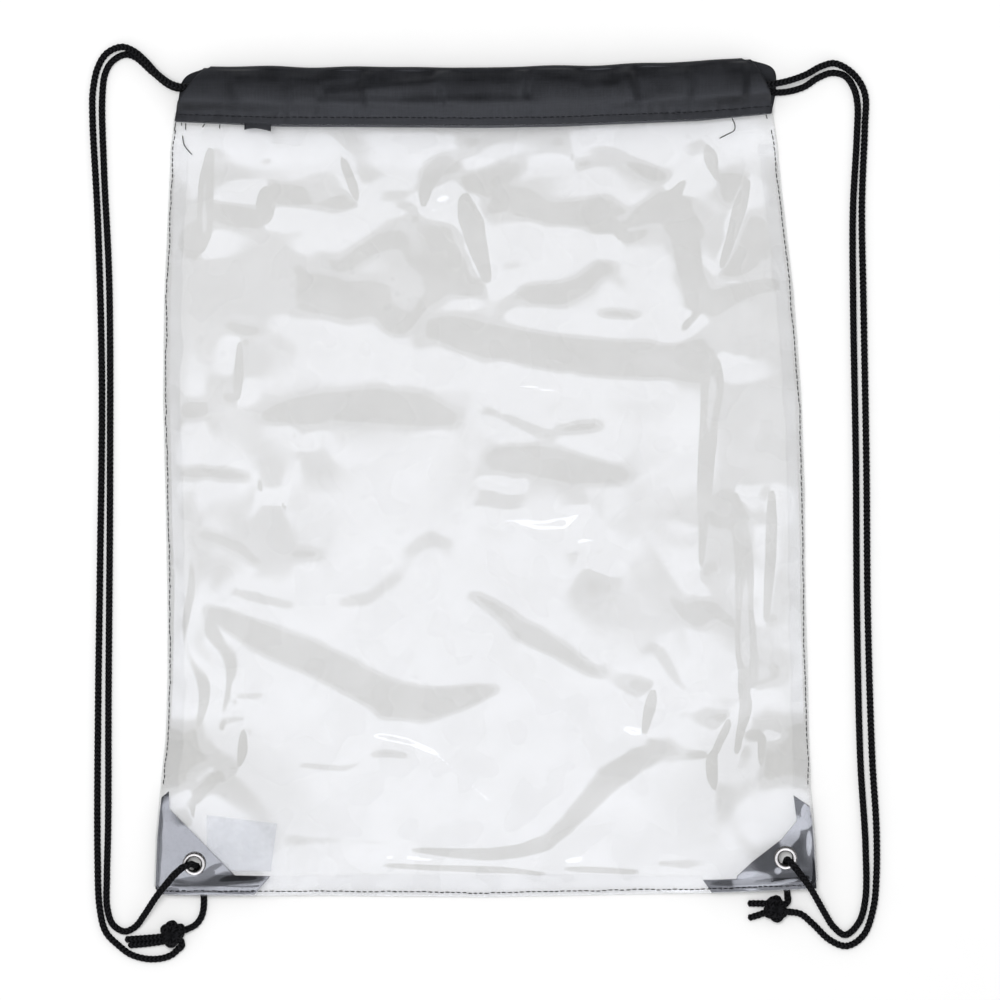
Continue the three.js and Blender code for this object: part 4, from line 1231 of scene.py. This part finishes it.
def cloth_material(name, rgb, coat):
    """Plain woven polyester: fine crossing threads, slight slubs and a soft sheen."""
    made, tree, uv = shader(name, "UV")
    warp = bands(tree, uv, 0.8, 0.4)
    weft = bands(tree, uv, 0.8, 0.4, direction="Y")
    weave = math_node(tree, "MAXIMUM", warp, weft)
    slubs = []
    for across, along in ((0.06, 2.0), (1.3, 0.12)):
        stretch = add(tree, "ShaderNodeMapping", {"Vector": uv, "Scale": (across, along, 1.0)})
        slubs.append(noise(tree, stretch.outputs[0], 1.0, 3.0))
    slub = math_node(tree, "MULTIPLY", math_node(tree, "ADD", *slubs), 0.5)
    broad = noise(tree, uv, 0.06, 3.0)
    tone = math_node(tree, "MULTIPLY", math_node(tree, "ADD", slub, broad), 0.5)
    tone = ranged(tree, tone, 0.36, 0.64, 0.0, 1.0)
    shade = toned(tree, tone, colour(rgb, 0.6), colour(rgb, 1.7))
    threads = toned(tree, weave, colour(rgb, 0.45), shade)
    height = math_node(tree, "ADD", weave, math_node(tree, "MULTIPLY", slub, 2.0))
    body = add(tree, "ShaderNodeBsdfPrincipled", {
        "Base Color": threads,
        "Roughness": ranged(tree, broad, 0.3, 0.7, 0.36, 0.46),
        "Normal": raised(tree, height, 0.3, 0.00015),
        "Specular IOR Level": 0.36,
        "Coat Roughness": 0.06,
    })
    if coat:
        body.inputs["Coat IOR"].default_value = coat
        cling = add(tree, "ShaderNodeAttribute", attribute_name="cling").outputs["Fac"]
        shine = ranged(tree, broad, 0.25, 0.75, 0.85, 1.0)
        tree.links.new(math_node(tree, "MULTIPLY", cling, shine), body.inputs["Coat Weight"])
    surface(tree, body.outputs[0])
    return made


def cord_material(name, rgb, circumference):
    """Braided polyester: slanting plaits that change direction from column to column; the base colour carries
    painted highlights on the plaits and painted shade between them.
    """
    made, tree, uv = shader(name, "UV")
    leans = []
    for lean in (BRAID_LEAN, -BRAID_LEAN):
        turned = add(tree, "ShaderNodeMapping", {"Vector": uv, "Rotation": (0.0, 0.0, lean)})
        leans.append(bands(tree, turned.outputs[0], 0.2, 0.6, 1.0))
    parts = add(tree, "ShaderNodeSeparateXYZ", {0: uv})
    columns = math_node(tree, "MULTIPLY", parts.outputs["Y"], BRAID_COLUMNS * 2 * math.pi / circumference)
    pick = math_node(tree, "GREATER_THAN", math_node(tree, "SINE", columns), 0.0)
    plait = add(tree, "ShaderNodeMix", {0: pick, 2: leans[0], 3: leans[1]}).outputs[0]
    fibre = noise(tree, uv, 3.0, 4.0)
    height = math_node(tree, "ADD", plait, math_node(tree, "MULTIPLY", fibre, 0.4))
    body = add(tree, "ShaderNodeBsdfPrincipled", {
        # Painted highlights and shade: the cord's black is lightened on the plaits and darkened between them.
        "Base Color": toned(tree, plait, colour(rgb, 0.2), colour(rgb, 4.4)),
        "Roughness": ranged(tree, fibre, 0.3, 0.7, 0.4, 0.6),
        "Normal": raised(tree, height, 0.7, 0.0004),
        "Specular IOR Level": 0.03,
    })
    surface(tree, body.outputs[0])
    return made


def metal_material(name, rgb):
    """Plated brass: bright, with a faint grain from rolling."""
    made, tree, place = shader(name, "Object")
    grain = noise(tree, place, 900.0, 3.0)
    cloud = noise(tree, place, 160.0, 2.0)
    body = add(tree, "ShaderNodeBsdfPrincipled", {
        "Base Color": toned(tree, cloud, colour(rgb, 0.86), colour(rgb, 1.1)),
        "Metallic": 1.0,
        "Roughness": ranged(tree, cloud, 0.3, 0.7, 0.24, 0.34),
        "Normal": raised(tree, grain, 0.1, 0.0001),
    })
    surface(tree, body.outputs[0])
    return made


def label_material(name, rgb):
    """Thin woven ribbon, through which light passes; its ribs run up and down."""
    made, tree, uv = shader(name, "UV")
    rib = bands(tree, uv, 0.34, 0.5, 1.0)
    pick = bands(tree, uv, 1.1, 0.3, direction="Y")
    cloud = noise(tree, uv, 0.16, 2.0)
    body = add(tree, "ShaderNodeBsdfPrincipled", {
        "Base Color": toned(tree, rib, colour(rgb, 0.7), colour(rgb)),
        "Roughness": 0.6,
        "Normal": raised(tree, math_node(tree, "ADD", rib, pick), 0.3, 0.0001),
    })
    clear = add(tree, "ShaderNodeBsdfTransparent", {"Color": colour(LABEL_TINT)})
    share = ranged(tree, cloud, 0.3, 0.7, 0.08, 0.16)
    blend = add(tree, "ShaderNodeMixShader", {0: share, 1: clear.outputs[0], 2: body.outputs[0]})
    surface(tree, blend.outputs[0])
    return made


def thread_material(name, rgb):
    """Twisted sewing thread."""
    made, tree, uv = shader(name, "UV")
    turned = add(tree, "ShaderNodeMapping", {"Vector": uv, "Rotation": (0.0, 0.0, 0.6)})
    twist = bands(tree, turned.outputs[0], 1.0)
    body = add(tree, "ShaderNodeBsdfPrincipled", {
        "Base Color": toned(tree, twist, colour(rgb, 0.5), colour(rgb, 1.8)),
        "Roughness": 0.6,
        "Normal": raised(tree, twist, 0.5, 0.0001),
    })
    surface(tree, body.outputs[0])
    return made


def floor_material(name):
    """Matt white board with a faint mottle."""
    made, tree, place = shader(name, "Object")
    mottle = noise(tree, place, 60.0, 3.0)
    tone = toned(tree, mottle, colour(WHITE, 0.885), colour(WHITE, 0.9))
    body = add(tree, "ShaderNodeBsdfDiffuse", {"Color": tone, "Roughness": 0.2})
    surface(tree, body.outputs[0])
    return made


def shared(name, make, *values):
    """A material by name, made at its first use."""
    return bpy.data.materials.get(name) or make(name, *values)


def cloth(context):
    """The cloth of the casings and of the patches' folds."""
    return shared("woven_cloth", cloth_material, context.scene.bag_colours.cloth, 0.0)


def finish_piece(piece, material, slot, *nodes):
    """Material, body and replaced nodes of a finished piece; the slot is not used."""
    if not piece.data.polygons:
        raise RuntimeError(f"{piece.name} has no faces")
    piece.data.materials.clear()
    piece.data.materials.append(material)
    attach(piece, BODY)
    if nodes:
        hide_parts(*nodes)
    return piece


class BAG_OT_set_stage(bpy.types.Operator):
    """Make the floor, the light and the camera"""

    bl_idname = "bag.set_stage"
    bl_label = "Set stage"

    def execute(self, context):
        stage = context.scene.bag_stage
        bpy.ops.object.select_all(action="DESELECT")
        bpy.ops.mesh.primitive_plane_add(size=FLOOR_SIZE, location=(0.0, 0.0, 0.0))
        floor = context.object
        floor.name = "floor"
        floor.data.materials.append(floor_material("white_board"))
        self.light_room(context, stage)
        self.hang_key(context, stage)
        lens = bpy.data.cameras.new("camera")
        lens.sensor_width = SENSOR_WIDTH
        lens.lens = SENSOR_WIDTH * stage.camera_distance / stage.view_width
        lens.clip_end = VIEW_END
        camera = bpy.data.objects.new("camera", lens)
        camera.location = (*VIEW_MIDDLE, stage.camera_distance + VIEW_LEVEL)
        context.scene.collection.objects.link(camera)
        context.scene.camera = camera
        context.scene.view_settings.view_transform = "Standard"
        bounces = context.scene.cycles
        bounces.transparent_max_bounces = 24
        bounces.max_bounces = 4
        bounces.diffuse_bounces = 1
        bounces.glossy_bounces = 3
        return {"FINISHED"}

    def light_room(self, context, stage):
        """Even light on the floor, and a large lamp, ceiling and walls in the reflections."""
        world = bpy.data.worlds.new("studio")
        context.scene.world = world
        world.use_nodes = True
        tree = world.node_tree
        tree.nodes.clear()
        tree.nodes.new("ShaderNodeOutputWorld")
        way = add(tree, "ShaderNodeTexCoord").outputs["Generated"]
        parts = add(tree, "ShaderNodeSeparateXYZ", {0: way})
        up = math_node(tree, "MAXIMUM", parts.outputs["Z"], LOWEST_RAY)
        right = math_node(tree, "DIVIDE", parts.outputs["X"], up)
        far = math_node(tree, "DIVIDE", parts.outputs["Y"], up)
        aside = math_node(tree, "ABSOLUTE", right)
        lamp = ranged(tree, far, *LAMP_EDGE, stage.lamp, stage.ceiling)
        gap = ranged(tree, far, *CEILING_END, 1.0, 0.0)
        inside = ranged(tree, aside, *CEILING_SIDE, 1.0, 0.0)
        overhead = math_node(tree, "MULTIPLY", math_node(tree, "MULTIPLY", lamp, gap), inside)
        spot_width = ranged(tree, aside, *SPOT_SIDE, SPOT_LIGHT, 0.0)
        spot_start = ranged(tree, far, *SPOT_NEAR, 0.0, 1.0)
        spot_end = ranged(tree, far, *SPOT_FAR, 1.0, 0.0)
        spot = math_node(
            tree, "MULTIPLY", spot_width, math_node(tree, "MULTIPLY", spot_start, spot_end))
        overhead = math_node(tree, "MAXIMUM", overhead, spot)
        side_wall = ranged(tree, aside, *WALL_START, 0.0, WALL_LIGHT)
        far_wall = ranged(tree, far, *WALL_START, 0.0, WALL_LIGHT)
        walls = math_node(tree, "MAXIMUM", side_wall, far_wall)
        room = math_node(tree, "MAXIMUM", overhead, walls)
        mirrored = add(tree, "ShaderNodeBackground", {"Color": ROOM_COLOUR, "Strength": room})
        even = add(tree, "ShaderNodeBackground", {"Color": WHITE, "Strength": stage.fill})
        glossy = add(tree, "ShaderNodeLightPath").outputs["Is Glossy Ray"]
        both = add(tree, "ShaderNodeMixShader", {0: glossy, 1: even.outputs[0], 2: mirrored.outputs[0]})
        surface(tree, both.outputs[0])

    def hang_key(self, context, stage):
        """The lamp that casts the soft shadows; the sheets don't mirror it."""
        key = bpy.data.lights.new("key", "AREA")
        key.shape = "DISK"
        key.size = KEY_SIZE
        key.energy = stage.key
        lamp = bpy.data.objects.new("key", key)
        lamp.location = KEY_PLACE
        lamp.rotation_euler = (-lamp.location).to_track_quat("-Z", "Y").to_euler()
        lamp.visible_glossy = False
        context.scene.collection.objects.link(lamp)


class BAG_OT_lay_cords(bpy.types.Operator):
    """Lay the braided drawcords from knot to knot"""

    bl_idname = "bag.lay_cords"
    bl_label = "Lay cords"

    def execute(self, context):
        diameter = context.scene.bag_sizes.cord_diameter
        radius = diameter / MM / 2
        fibre = shared("braided_cord", cord_material, context.scene.bag_colours.cord, 2 * math.pi * radius)
        for side, route in CORDS.items():
            run = casing_run(route["from_x"], route["turn_x"], route["lane"])
            path = through(route["outer"] + run + route["inner"], CORD_SPACING)
            points, faces, uv = tube_parts(path, radius, CORD_SIDES, braid(radius))
            piece = new_object(f"{side}_drawcord", points, faces, uv)
            finish_piece(piece, fibre, "cord", f"{side}_cord")
            knot = self.tie_knot(side, radius, fibre)
        return {"FINISHED"}

    def tie_knot(self, side, radius, fibre):
        """An overhand knot in both strands, with its tails."""
        knot = KNOTS[side]
        tubes = [self.loop(knot, radius * KNOT_STRAND, size, lift) for size, lift in KNOT_LOOPS]
        tubes.append(self.core(knot))
        for line in knot["tails"] + knot["joins"]:
            tubes.append(tube_parts(through(line, KNOT_SPACING), radius, CORD_SIDES, braid(radius)))
        piece = joined_tubes(f"{side}_overhand_knot", tubes)
        return finish_piece(piece, fibre, "cord", f"{side}_knot")

    def loop(self, knot, radius, size, lift):
        """One strand's way round the knot."""
        turn = math.radians(knot["turn"])
        t = np.linspace(KNOT_OPEN_ANGLE, 2 * math.pi - KNOT_OPEN_ANGLE, KNOT_POINTS)[::KNOT_STEP]
        x = size * KNOT_SCALE * (np.sin(t) + 2 * np.sin(2 * t))
        y = size * KNOT_SCALE * (np.cos(t) - 2 * np.cos(2 * t))
        z = -KNOT_HEIGHT_SCALE * np.sin(3 * t) + lift
        line = stacked(
            x * math.cos(turn) - y * math.sin(turn) + knot["at"][0],
            x * math.sin(turn) + y * math.cos(turn) + knot["at"][1],
            z + knot["at"][2])
        return tube_parts(through(line, KNOT_SPACING), radius, CORD_SIDES, braid(radius))

    def core(self, knot):
        """The tightly drawn middle of the knot."""
        spread, height = KNOT_CORE
        crease, round_count, up_count = KNOT_CREASES
        lean = np.linspace(-height, height, KNOT_CORE_POINTS)

        def ball(run, angle):
            """Radius by the way up the core and round it."""
            round_off = np.sqrt(np.maximum(1 - (run / height - 1) ** 2, KNOT_CORE_TIP))
            return spread * round_off * (1 + crease * np.cos(round_count * angle) * np.cos(up_count * run))

        line = stacked(knot["at"][0], knot["at"][1], lean + knot["at"][2])
        return tube_parts(line, spread, KNOT_CORE_SIDES, ball, False)


class BAG_OT_lay_sheets(bpy.types.Operator):
    """Lay the two clear sheets with their folds"""

    bl_idname = "bag.lay_sheets"
    bl_label = "Lay sheets"

    def execute(self, context):
        sizes = context.scene.bag_sizes
        wall = sizes.sheet_thickness / MM
        x, y, across, along = panel_grid(*REAR_GRID)
        wrinkle = sizes.wrinkle_strength * (REAR_WAVE_RISE + waves("rear_waves", x, y))
        low = back_z(x, y, along) + REAR_LIFT + np.clip(wrinkle, 0, REAR_WAVE_LIMIT)
        low = low + REAR_ROLL * edge_roll(x, y, across, along)
        x, y, keep = eyelet_cut(x, y)
        back = closed_sheet("rear_sheet", *plies(x, y, low, wall), keep)
        soft = shared("clear_pvc_rear", clear_sheet_material, SOFT_GLOSS, CLEAR_TINT)
        finish_piece(back, soft, "clear_sheet", "back_panel")
        x, y, across, along = panel_grid(*FRONT_GRID)
        low = front_z(x, y, across, along, sizes)
        x, y, keep = eyelet_cut(x, y)
        front = closed_sheet("front_sheet", *plies(x, y, low, wall), keep)
        clear = shared("clear_pvc", clear_sheet_material, CLEAR_GLOSS, CLEAR_TINT)
        finish_piece(front, clear, "clear_sheet", "front_panel")
        return {"FINISHED"}


class BAG_OT_turn_seams(bpy.types.Operator):
    """Turn the seam allowances to the inside"""

    bl_idname = "bag.turn_seams"
    bl_label = "Turn seams"

    def execute(self, context):
        wall = context.scene.bag_sizes.sheet_thickness / MM
        steps, plies_wide = SEAM_GRID
        y = np.linspace(SIDE_SEAM_LOW, SIDE_SEAM_HIGH, steps)[:, None]
        share = np.linspace(0, 1, plies_wide)[None, :]
        for side, inward in INWARD.items():
            name = f"{side}_allowance"
            edge = between(EDGES, "y", side, y)
            x = edge + inward * mix(SEAM_INSET, SEAM_WIDTH + waves(name, y, 0 * y), share)
            if inward < 0:
                x = x[:, ::-1]
            self.strip(name, x, np.broadcast_to(y, x.shape), wall, f"{side}_seam")
        share = np.linspace(0, 1, steps)[None, :]
        rise = np.linspace(0, 1, plies_wide)[:, None]
        left = mix(*BOTTOM_SEAM_LEFT, rise)
        right = mix(*BOTTOM_SEAM_RIGHT, rise)
        x = mix(left, right, share)
        top = BOTTOM_SEAM_TOP + waves("bottom_allowance", x, 0 * x) * rise
        y = mix(between(BOTTOM, "x", "y", x) + BOTTOM_SEAM_INSET, top, rise)
        self.strip("bottom_allowance", x, y, wall, "bottom_seam")
        return {"FINISHED"}

    def strip(self, name, x, y, wall, node):
        """A narrow clear strip between the two sheets."""
        along = np.clip((y - EDGES["y"][0]) / (EDGES["y"][-1] - EDGES["y"][0]), 0, 1)
        low = back_z(x, y, along) + LAYER + INSIDE_LIFT + waves("seam_strip", x, y)
        made = closed_sheet(name, *plies(x, y, low, wall))
        clear = shared("clear_pvc_seam", clear_sheet_material, SOFT_GLOSS, SEAM_TINT, SEAM_MIRROR)
        return finish_piece(made, clear, "clear_sheet", node)


class BAG_OT_sew_casings(bpy.types.Operator):
    """Fold the cloth casings over the sheets' upper edges"""

    bl_idname = "bag.sew_casings"
    bl_label = "Sew casings"

    def execute(self, context):
        cover = context.scene.bag_sizes.cloth_thickness / MM
        for side, inner_ply, flat_z in (("front", 0, front_casing_z), ("back", 2, back_casing_z)):
            outer, tunnel, share, ply, uv = casing_skins(side, inner_ply, flat_z, cover)
            pieces = [(outer, tunnel, uv)]
            if side == "front":
                lift = cloth_relief(outer[..., 0], outer[..., 1], share) * smooth(*BULGED_PLY, ply)
                outer[..., 2] += lift
                tunnel[..., 2] += lift
                pieces.append(self.hem_tab())
            else:
                outer[..., 2] = np.maximum(outer[..., 2], FLOOR_GAP)
            made = joined_sheets(f"{side}_casing_cloth", pieces)
            finish_piece(made, cloth(context), "cloth", f"{side}_casing")
        return {"FINISHED"}

    def hem_tab(self):
        """The end of the hem that shows under the casing's lower edge."""
        (left, right), (low, high) = HEM_TAB
        columns, rows = HEM_TAB_GRID
        depth, bend, start = HEM_TAB_CURVE
        share, rise = np.meshgrid(np.linspace(0, 1, columns), np.linspace(0, 1, rows))
        x = mix(left, right, share)
        y = mix(low + depth * np.sin(bend * share + start), high, rise)
        z = front_casing_z(x, 0) + HEM_TAB_Z - HEM_TAB_DROOP * (1 - rise)
        return plies(x, y, z, HEM_TAB_WALL)


class BAG_OT_cut_patches(bpy.types.Operator):
    """Cut the corner patches and the label"""

    bl_idname = "bag.cut_patches"
    bl_label = "Cut patches and label"

    def execute(self, context):
        cover = context.scene.bag_sizes.cloth_thickness / MM
        rgb = context.scene.bag_colours.cloth
        for side, inward in INWARD.items():
            x, y, keep = self.patch_grid(side, inward)
            low = CORNER_LIFT * corner_share(x, y) + LAYER + INSIDE_LIFT
            low = low + PATCH_FOLLOWS[side] * folded(x, y, CORNER_FOLDS) * beside_eyelet(x, y)
            made = closed_sheet(f"{side}_patch_cloth", *plies(x, y, low, cover), keep)
            spots = np.array([vertex.co for vertex in made.data.vertices]) / MM
            shares = cling_share(side, spots[:, 0], spots[:, 1])
            cling = made.data.attributes.new("cling", "FLOAT", "POINT")
            cling.data.foreach_set("value", shares.astype(np.float32))
            fabric = shared(f"{side}_patch_cloth", cloth_material, rgb, PATCH_COATS[side])
            finish_piece(made, fabric, "cloth", f"{side}_corner_patch")
            strips = [self.fold_strip(*row) for row in PATCH_STRIPS[side]]
            finish_piece(joined_sheets(f"{side}_patch_folds", strips), cloth(context), "cloth")
        self.lay_label(context)
        return {"FINISHED"}

    def patch_grid(self, side, inward):
        """Points of a corner patch seen from above, and its cells outside the eyelet's hole."""
        inner = PATCH_EDGES[side]
        low, high = inner["y"][0], inner["y"][-1]
        rows, columns = PATCH_GRID
        y = np.unique(np.concatenate([np.linspace(low, high, rows), inner["y"]]))[:, None]
        edge = between(EDGES, "y", side, y) + inward * PATCH_SIDE_INSET
        share = np.linspace(0, 1, columns)[None, :]
        x = mix(edge, between(inner, "y", "x", y), share)
        y = np.maximum(y, between(BOTTOM, "x", "y", x) + PATCH_BOTTOM_INSET)
        y = y - PATCH_SLANTS[side] * (1 - share) * smooth(high - PATCH_SLANT_HEIGHT, high, y)
        if inward < 0:
            x, y = x[:, ::-1], y[:, ::-1]
        return eyelet_cut(x, y)

    def fold_strip(self, start, end, width):
        """A narrow fold of the patch along the bottom seam."""
        columns, rows = STRIP_GRID
        depth, bend = STRIP_WAVE
        share = np.linspace(0, 1, columns)[None, :]
        rise = np.linspace(0, 1, rows)[:, None]
        x = mix(start[0], end[0], share) + 0 * rise
        y = mix(start[1], end[1], share) + width * rise + depth * np.sin(bend * x)
        z = CORNER_LIFT * corner_share(x, y) + LAYER + STRIP_LIFT
        return plies(x, y, z, STRIP_WALL)

    def lay_label(self, context):
        """The bare woven label between the sheets."""
        columns, rows = LABEL_GRID
        x = np.linspace(LABEL_TOP["x"][0], LABEL_TOP["x"][-1], columns)[None, :]
        rise = np.linspace(0, 1, rows)[:, None]
        low = between(LABEL_LOW, "x", "y", x)
        y = mix(low, between(LABEL_TOP, "x", "y", x), rise)
        x = x + 0 * y - LABEL_LEAN * (1 - rise) * smooth(*LABEL_LEAN_FROM, x)
        z = CORNER_LIFT * corner_share(x, y) + LAYER + LABEL_LIFT + waves("label", x, y)
        made = closed_sheet("woven_label", *plies(x, y, z, LABEL_WALL))
        ribbon = shared("woven_label", label_material, context.scene.bag_colours.label)
        finish_piece(made, ribbon, "label", "label")


class BAG_OT_press_eyelets(bpy.types.Operator):
    """Press the metal eyelets into the bottom corners"""

    bl_idname = "bag.press_eyelets"
    bl_label = "Press eyelets"

    def execute(self, context):
        metal = shared("plated_metal", metal_material, context.scene.bag_colours.metal)
        for side, (x, y) in EYELETS.items():
            piece = self.roll_eyelet(context, f"{side}_rolled_eyelet", x, y)
            finish_piece(piece, metal, "eyelet", f"{side}_eyelet")
        return {"FINISHED"}

    def roll_eyelet(self, context, name, x, y):
        """A barrel whose ends are drawn out and rolled over."""
        centre = (x * MM, y * MM, BARREL_MIDDLE * MM)
        bpy.ops.object.select_all(action="DESELECT")
        bpy.ops.mesh.primitive_cylinder_add(
            vertices=BARREL_SIDES, radius=BARREL_RADIUS * MM, depth=BARREL_LENGTH * MM,
            end_fill_type="NOTHING", location=centre)
        piece = context.object
        piece.name = name
        for rings, way in ((TOP_RINGS, 1), (BACK_RINGS, -1)):
            radius, height = BARREL_RADIUS, BARREL_MIDDLE + way * BARREL_LENGTH / 2
            self.choose_rim(piece, way)
            for next_radius, next_height in rings:
                bpy.ops.mesh.extrude_edges_move(
                    TRANSFORM_OT_translate={"value": (0.0, 0.0, (next_height - height) * MM)})
                scale = next_radius / radius
                bpy.ops.transform.resize(value=(scale, scale, 1.0), center_override=centre)
                radius, height = next_radius, next_height
            bpy.ops.object.mode_set(mode="OBJECT")
        wall = piece.modifiers.new("wall", "SOLIDIFY")
        wall.thickness = EYELET_WALL * MM
        wall.offset = 0.0
        bpy.ops.object.modifier_apply(modifier=wall.name)
        round_off = piece.modifiers.new("round", "SUBSURF")
        round_off.levels = round_off.render_levels = 1
        bpy.ops.object.modifier_apply(modifier=round_off.name)
        bpy.ops.object.transform_apply(location=True, rotation=True, scale=True)
        bpy.ops.object.mode_set(mode="EDIT")
        bpy.ops.mesh.select_all(action="SELECT")
        bpy.ops.mesh.normals_make_consistent(inside=False)
        bpy.ops.object.mode_set(mode="OBJECT")
        bpy.ops.object.shade_smooth()
        return piece

    def choose_rim(self, piece, way):
        """Select the highest ring of edges in edit mode, or the lowest where the way is down."""
        bpy.ops.object.mode_set(mode="EDIT")
        bpy.ops.mesh.select_mode(type="EDGE")
        bpy.ops.mesh.select_all(action="DESELECT")
        bpy.ops.object.mode_set(mode="OBJECT")
        heights = [way * vertex.co.z for vertex in piece.data.vertices]
        limit = max(heights)
        on_rim = [limit - height < TINY for height in heights]
        for edge in piece.data.edges:
            edge.select = all(on_rim[v] for v in edge.vertices)
        for vertex in piece.data.vertices:
            vertex.select = on_rim[vertex.index]
        bpy.ops.object.mode_set(mode="EDIT")


class BAG_OT_stitch(bpy.types.Operator):
    """Sew the seams and the casing's hem"""

    bl_idname = "bag.stitch"
    bl_label = "Stitch"

    def execute(self, context):
        sizes = context.scene.bag_sizes
        yarn = shared("sewing_thread", thread_material, context.scene.bag_colours.thread)
        y = np.linspace(*SIDE_STITCHES, SEAM_POINTS)
        for side, inward in INWARD.items():
            inset = SIDE_STITCH_INSET + waves(f"{side}_stitches", y, 0 * y)
            x = between(EDGES, "y", side, y) + inward * inset
            self.sew(side, stacked(x, y, self.front_top(sizes, x, y) + STITCH_LIFT), sizes, yarn)
        x = np.linspace(*BOTTOM_STITCHES, SEAM_POINTS)
        y = between(BOTTOM, "x", "y", x) + BOTTOM_STITCH_INSET + waves("bottom_stitches", x, 0 * x)
        self.sew("bottom", stacked(x, y, self.front_top(sizes, x, y) + STITCH_LIFT), sizes, yarn)
        x = np.linspace(*HEM_STITCHES, SEAM_POINTS)
        share = HEM_STITCH_SHARE + 0 * x
        y = mix(between(CASING, "x", "low", x), between(CASING, "x", "high", x), share)
        z = front_casing_z(x, share) + HEM_STITCH_LIFT + cloth_relief(x, y, share)
        self.sew("hem", stacked(x, y, z), sizes, yarn)
        ends = []
        for line in THREAD_ENDS:
            x, y = np.array(line, float).T
            path = through(stacked(x, y, self.front_top(sizes, x, y) + THREAD_END_LIFT), THREAD_END_SPACING)
            ends.append(tube_parts(path, sizes.thread_diameter / MM / 2, THREAD_SIDES))
        finish_piece(joined_tubes("thread_ends", ends), yarn, "cloth")
        return {"FINISHED"}

    def front_top(self, sizes, x, y):
        """Height of the front sheet's upper face near its edges."""
        left = between(EDGES, "y", "left", y)
        right = between(EDGES, "y", "right", y)
        across = (x - left) / (right - left)
        bottom = between(BOTTOM, "x", "y", x)
        top = between(CASING, "x", "low", x) + CASING_TUCK
        along = np.clip((y - bottom) / (top - bottom), 0, 1)
        return front_z(x, y, across, along, sizes) + sizes.sheet_thickness / MM

    def sew(self, row, path, sizes, yarn):
        """One row of stitches as a piece."""
        radius = sizes.thread_diameter / MM / 2
        tubes = stitch_tubes(path, radius, sizes.stitch_length / MM, *STITCH_ROWS[row])
        finish_piece(joined_tubes(f"{row}_stitches", tubes), yarn, "cloth")


class BAG_PT_backpack(bpy.types.Panel):
    """Sizes, colours and pieces of the backpack"""

    bl_label = "Backpack"
    bl_idname = "BAG_PT_backpack"
    bl_space_type = "VIEW_3D"
    bl_region_type = "UI"
    bl_category = "Backpack"

    def draw(self, context):
        scene = context.scene
        for group in (scene.bag_sizes, scene.bag_colours, scene.bag_stage):
            box = self.layout.box()
            for name in group.__annotations__:
                box.prop(group, name)
        for operator in OPERATORS:
            self.layout.operator(operator.bl_idname)


GROUPS = {"bag_sizes": BagSizes, "bag_colours": BagColours, "bag_stage": StageSettings}
OPERATORS = (
    BAG_OT_set_stage,
    BAG_OT_lay_cords,
    BAG_OT_lay_sheets,
    BAG_OT_turn_seams,
    BAG_OT_sew_casings,
    BAG_OT_cut_patches,
    BAG_OT_press_eyelets,
    BAG_OT_stitch,
)


def register():
    """Add the settings, the operators and the panel to Blender."""
    for name, group in GROUPS.items():
        bpy.utils.register_class(group)
        setattr(bpy.types.Scene, name, bpy.props.PointerProperty(type=group))
    for made in (*OPERATORS, BAG_PT_backpack):
        bpy.utils.register_class(made)


def unregister():
    """Take them out again."""
    for made in (BAG_PT_backpack, *reversed(OPERATORS)):
        bpy.utils.unregister_class(made)
    for name, group in reversed(GROUPS.items()):
        delattr(bpy.types.Scene, name)
        bpy.utils.unregister_class(group)


def main():
    """Register the add-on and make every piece."""
    register()
    bpy.ops.bag.set_stage()
    bpy.ops.bag.lay_cords()
    bpy.ops.bag.lay_sheets()
    bpy.ops.bag.turn_seams()
    bpy.ops.bag.sew_casings()
    bpy.ops.bag.cut_patches()
    bpy.ops.bag.press_eyelets()
    bpy.ops.bag.stitch()
    bpy.ops.object.select_all(action="DESELECT")


if __name__ == "__main__":
    main()
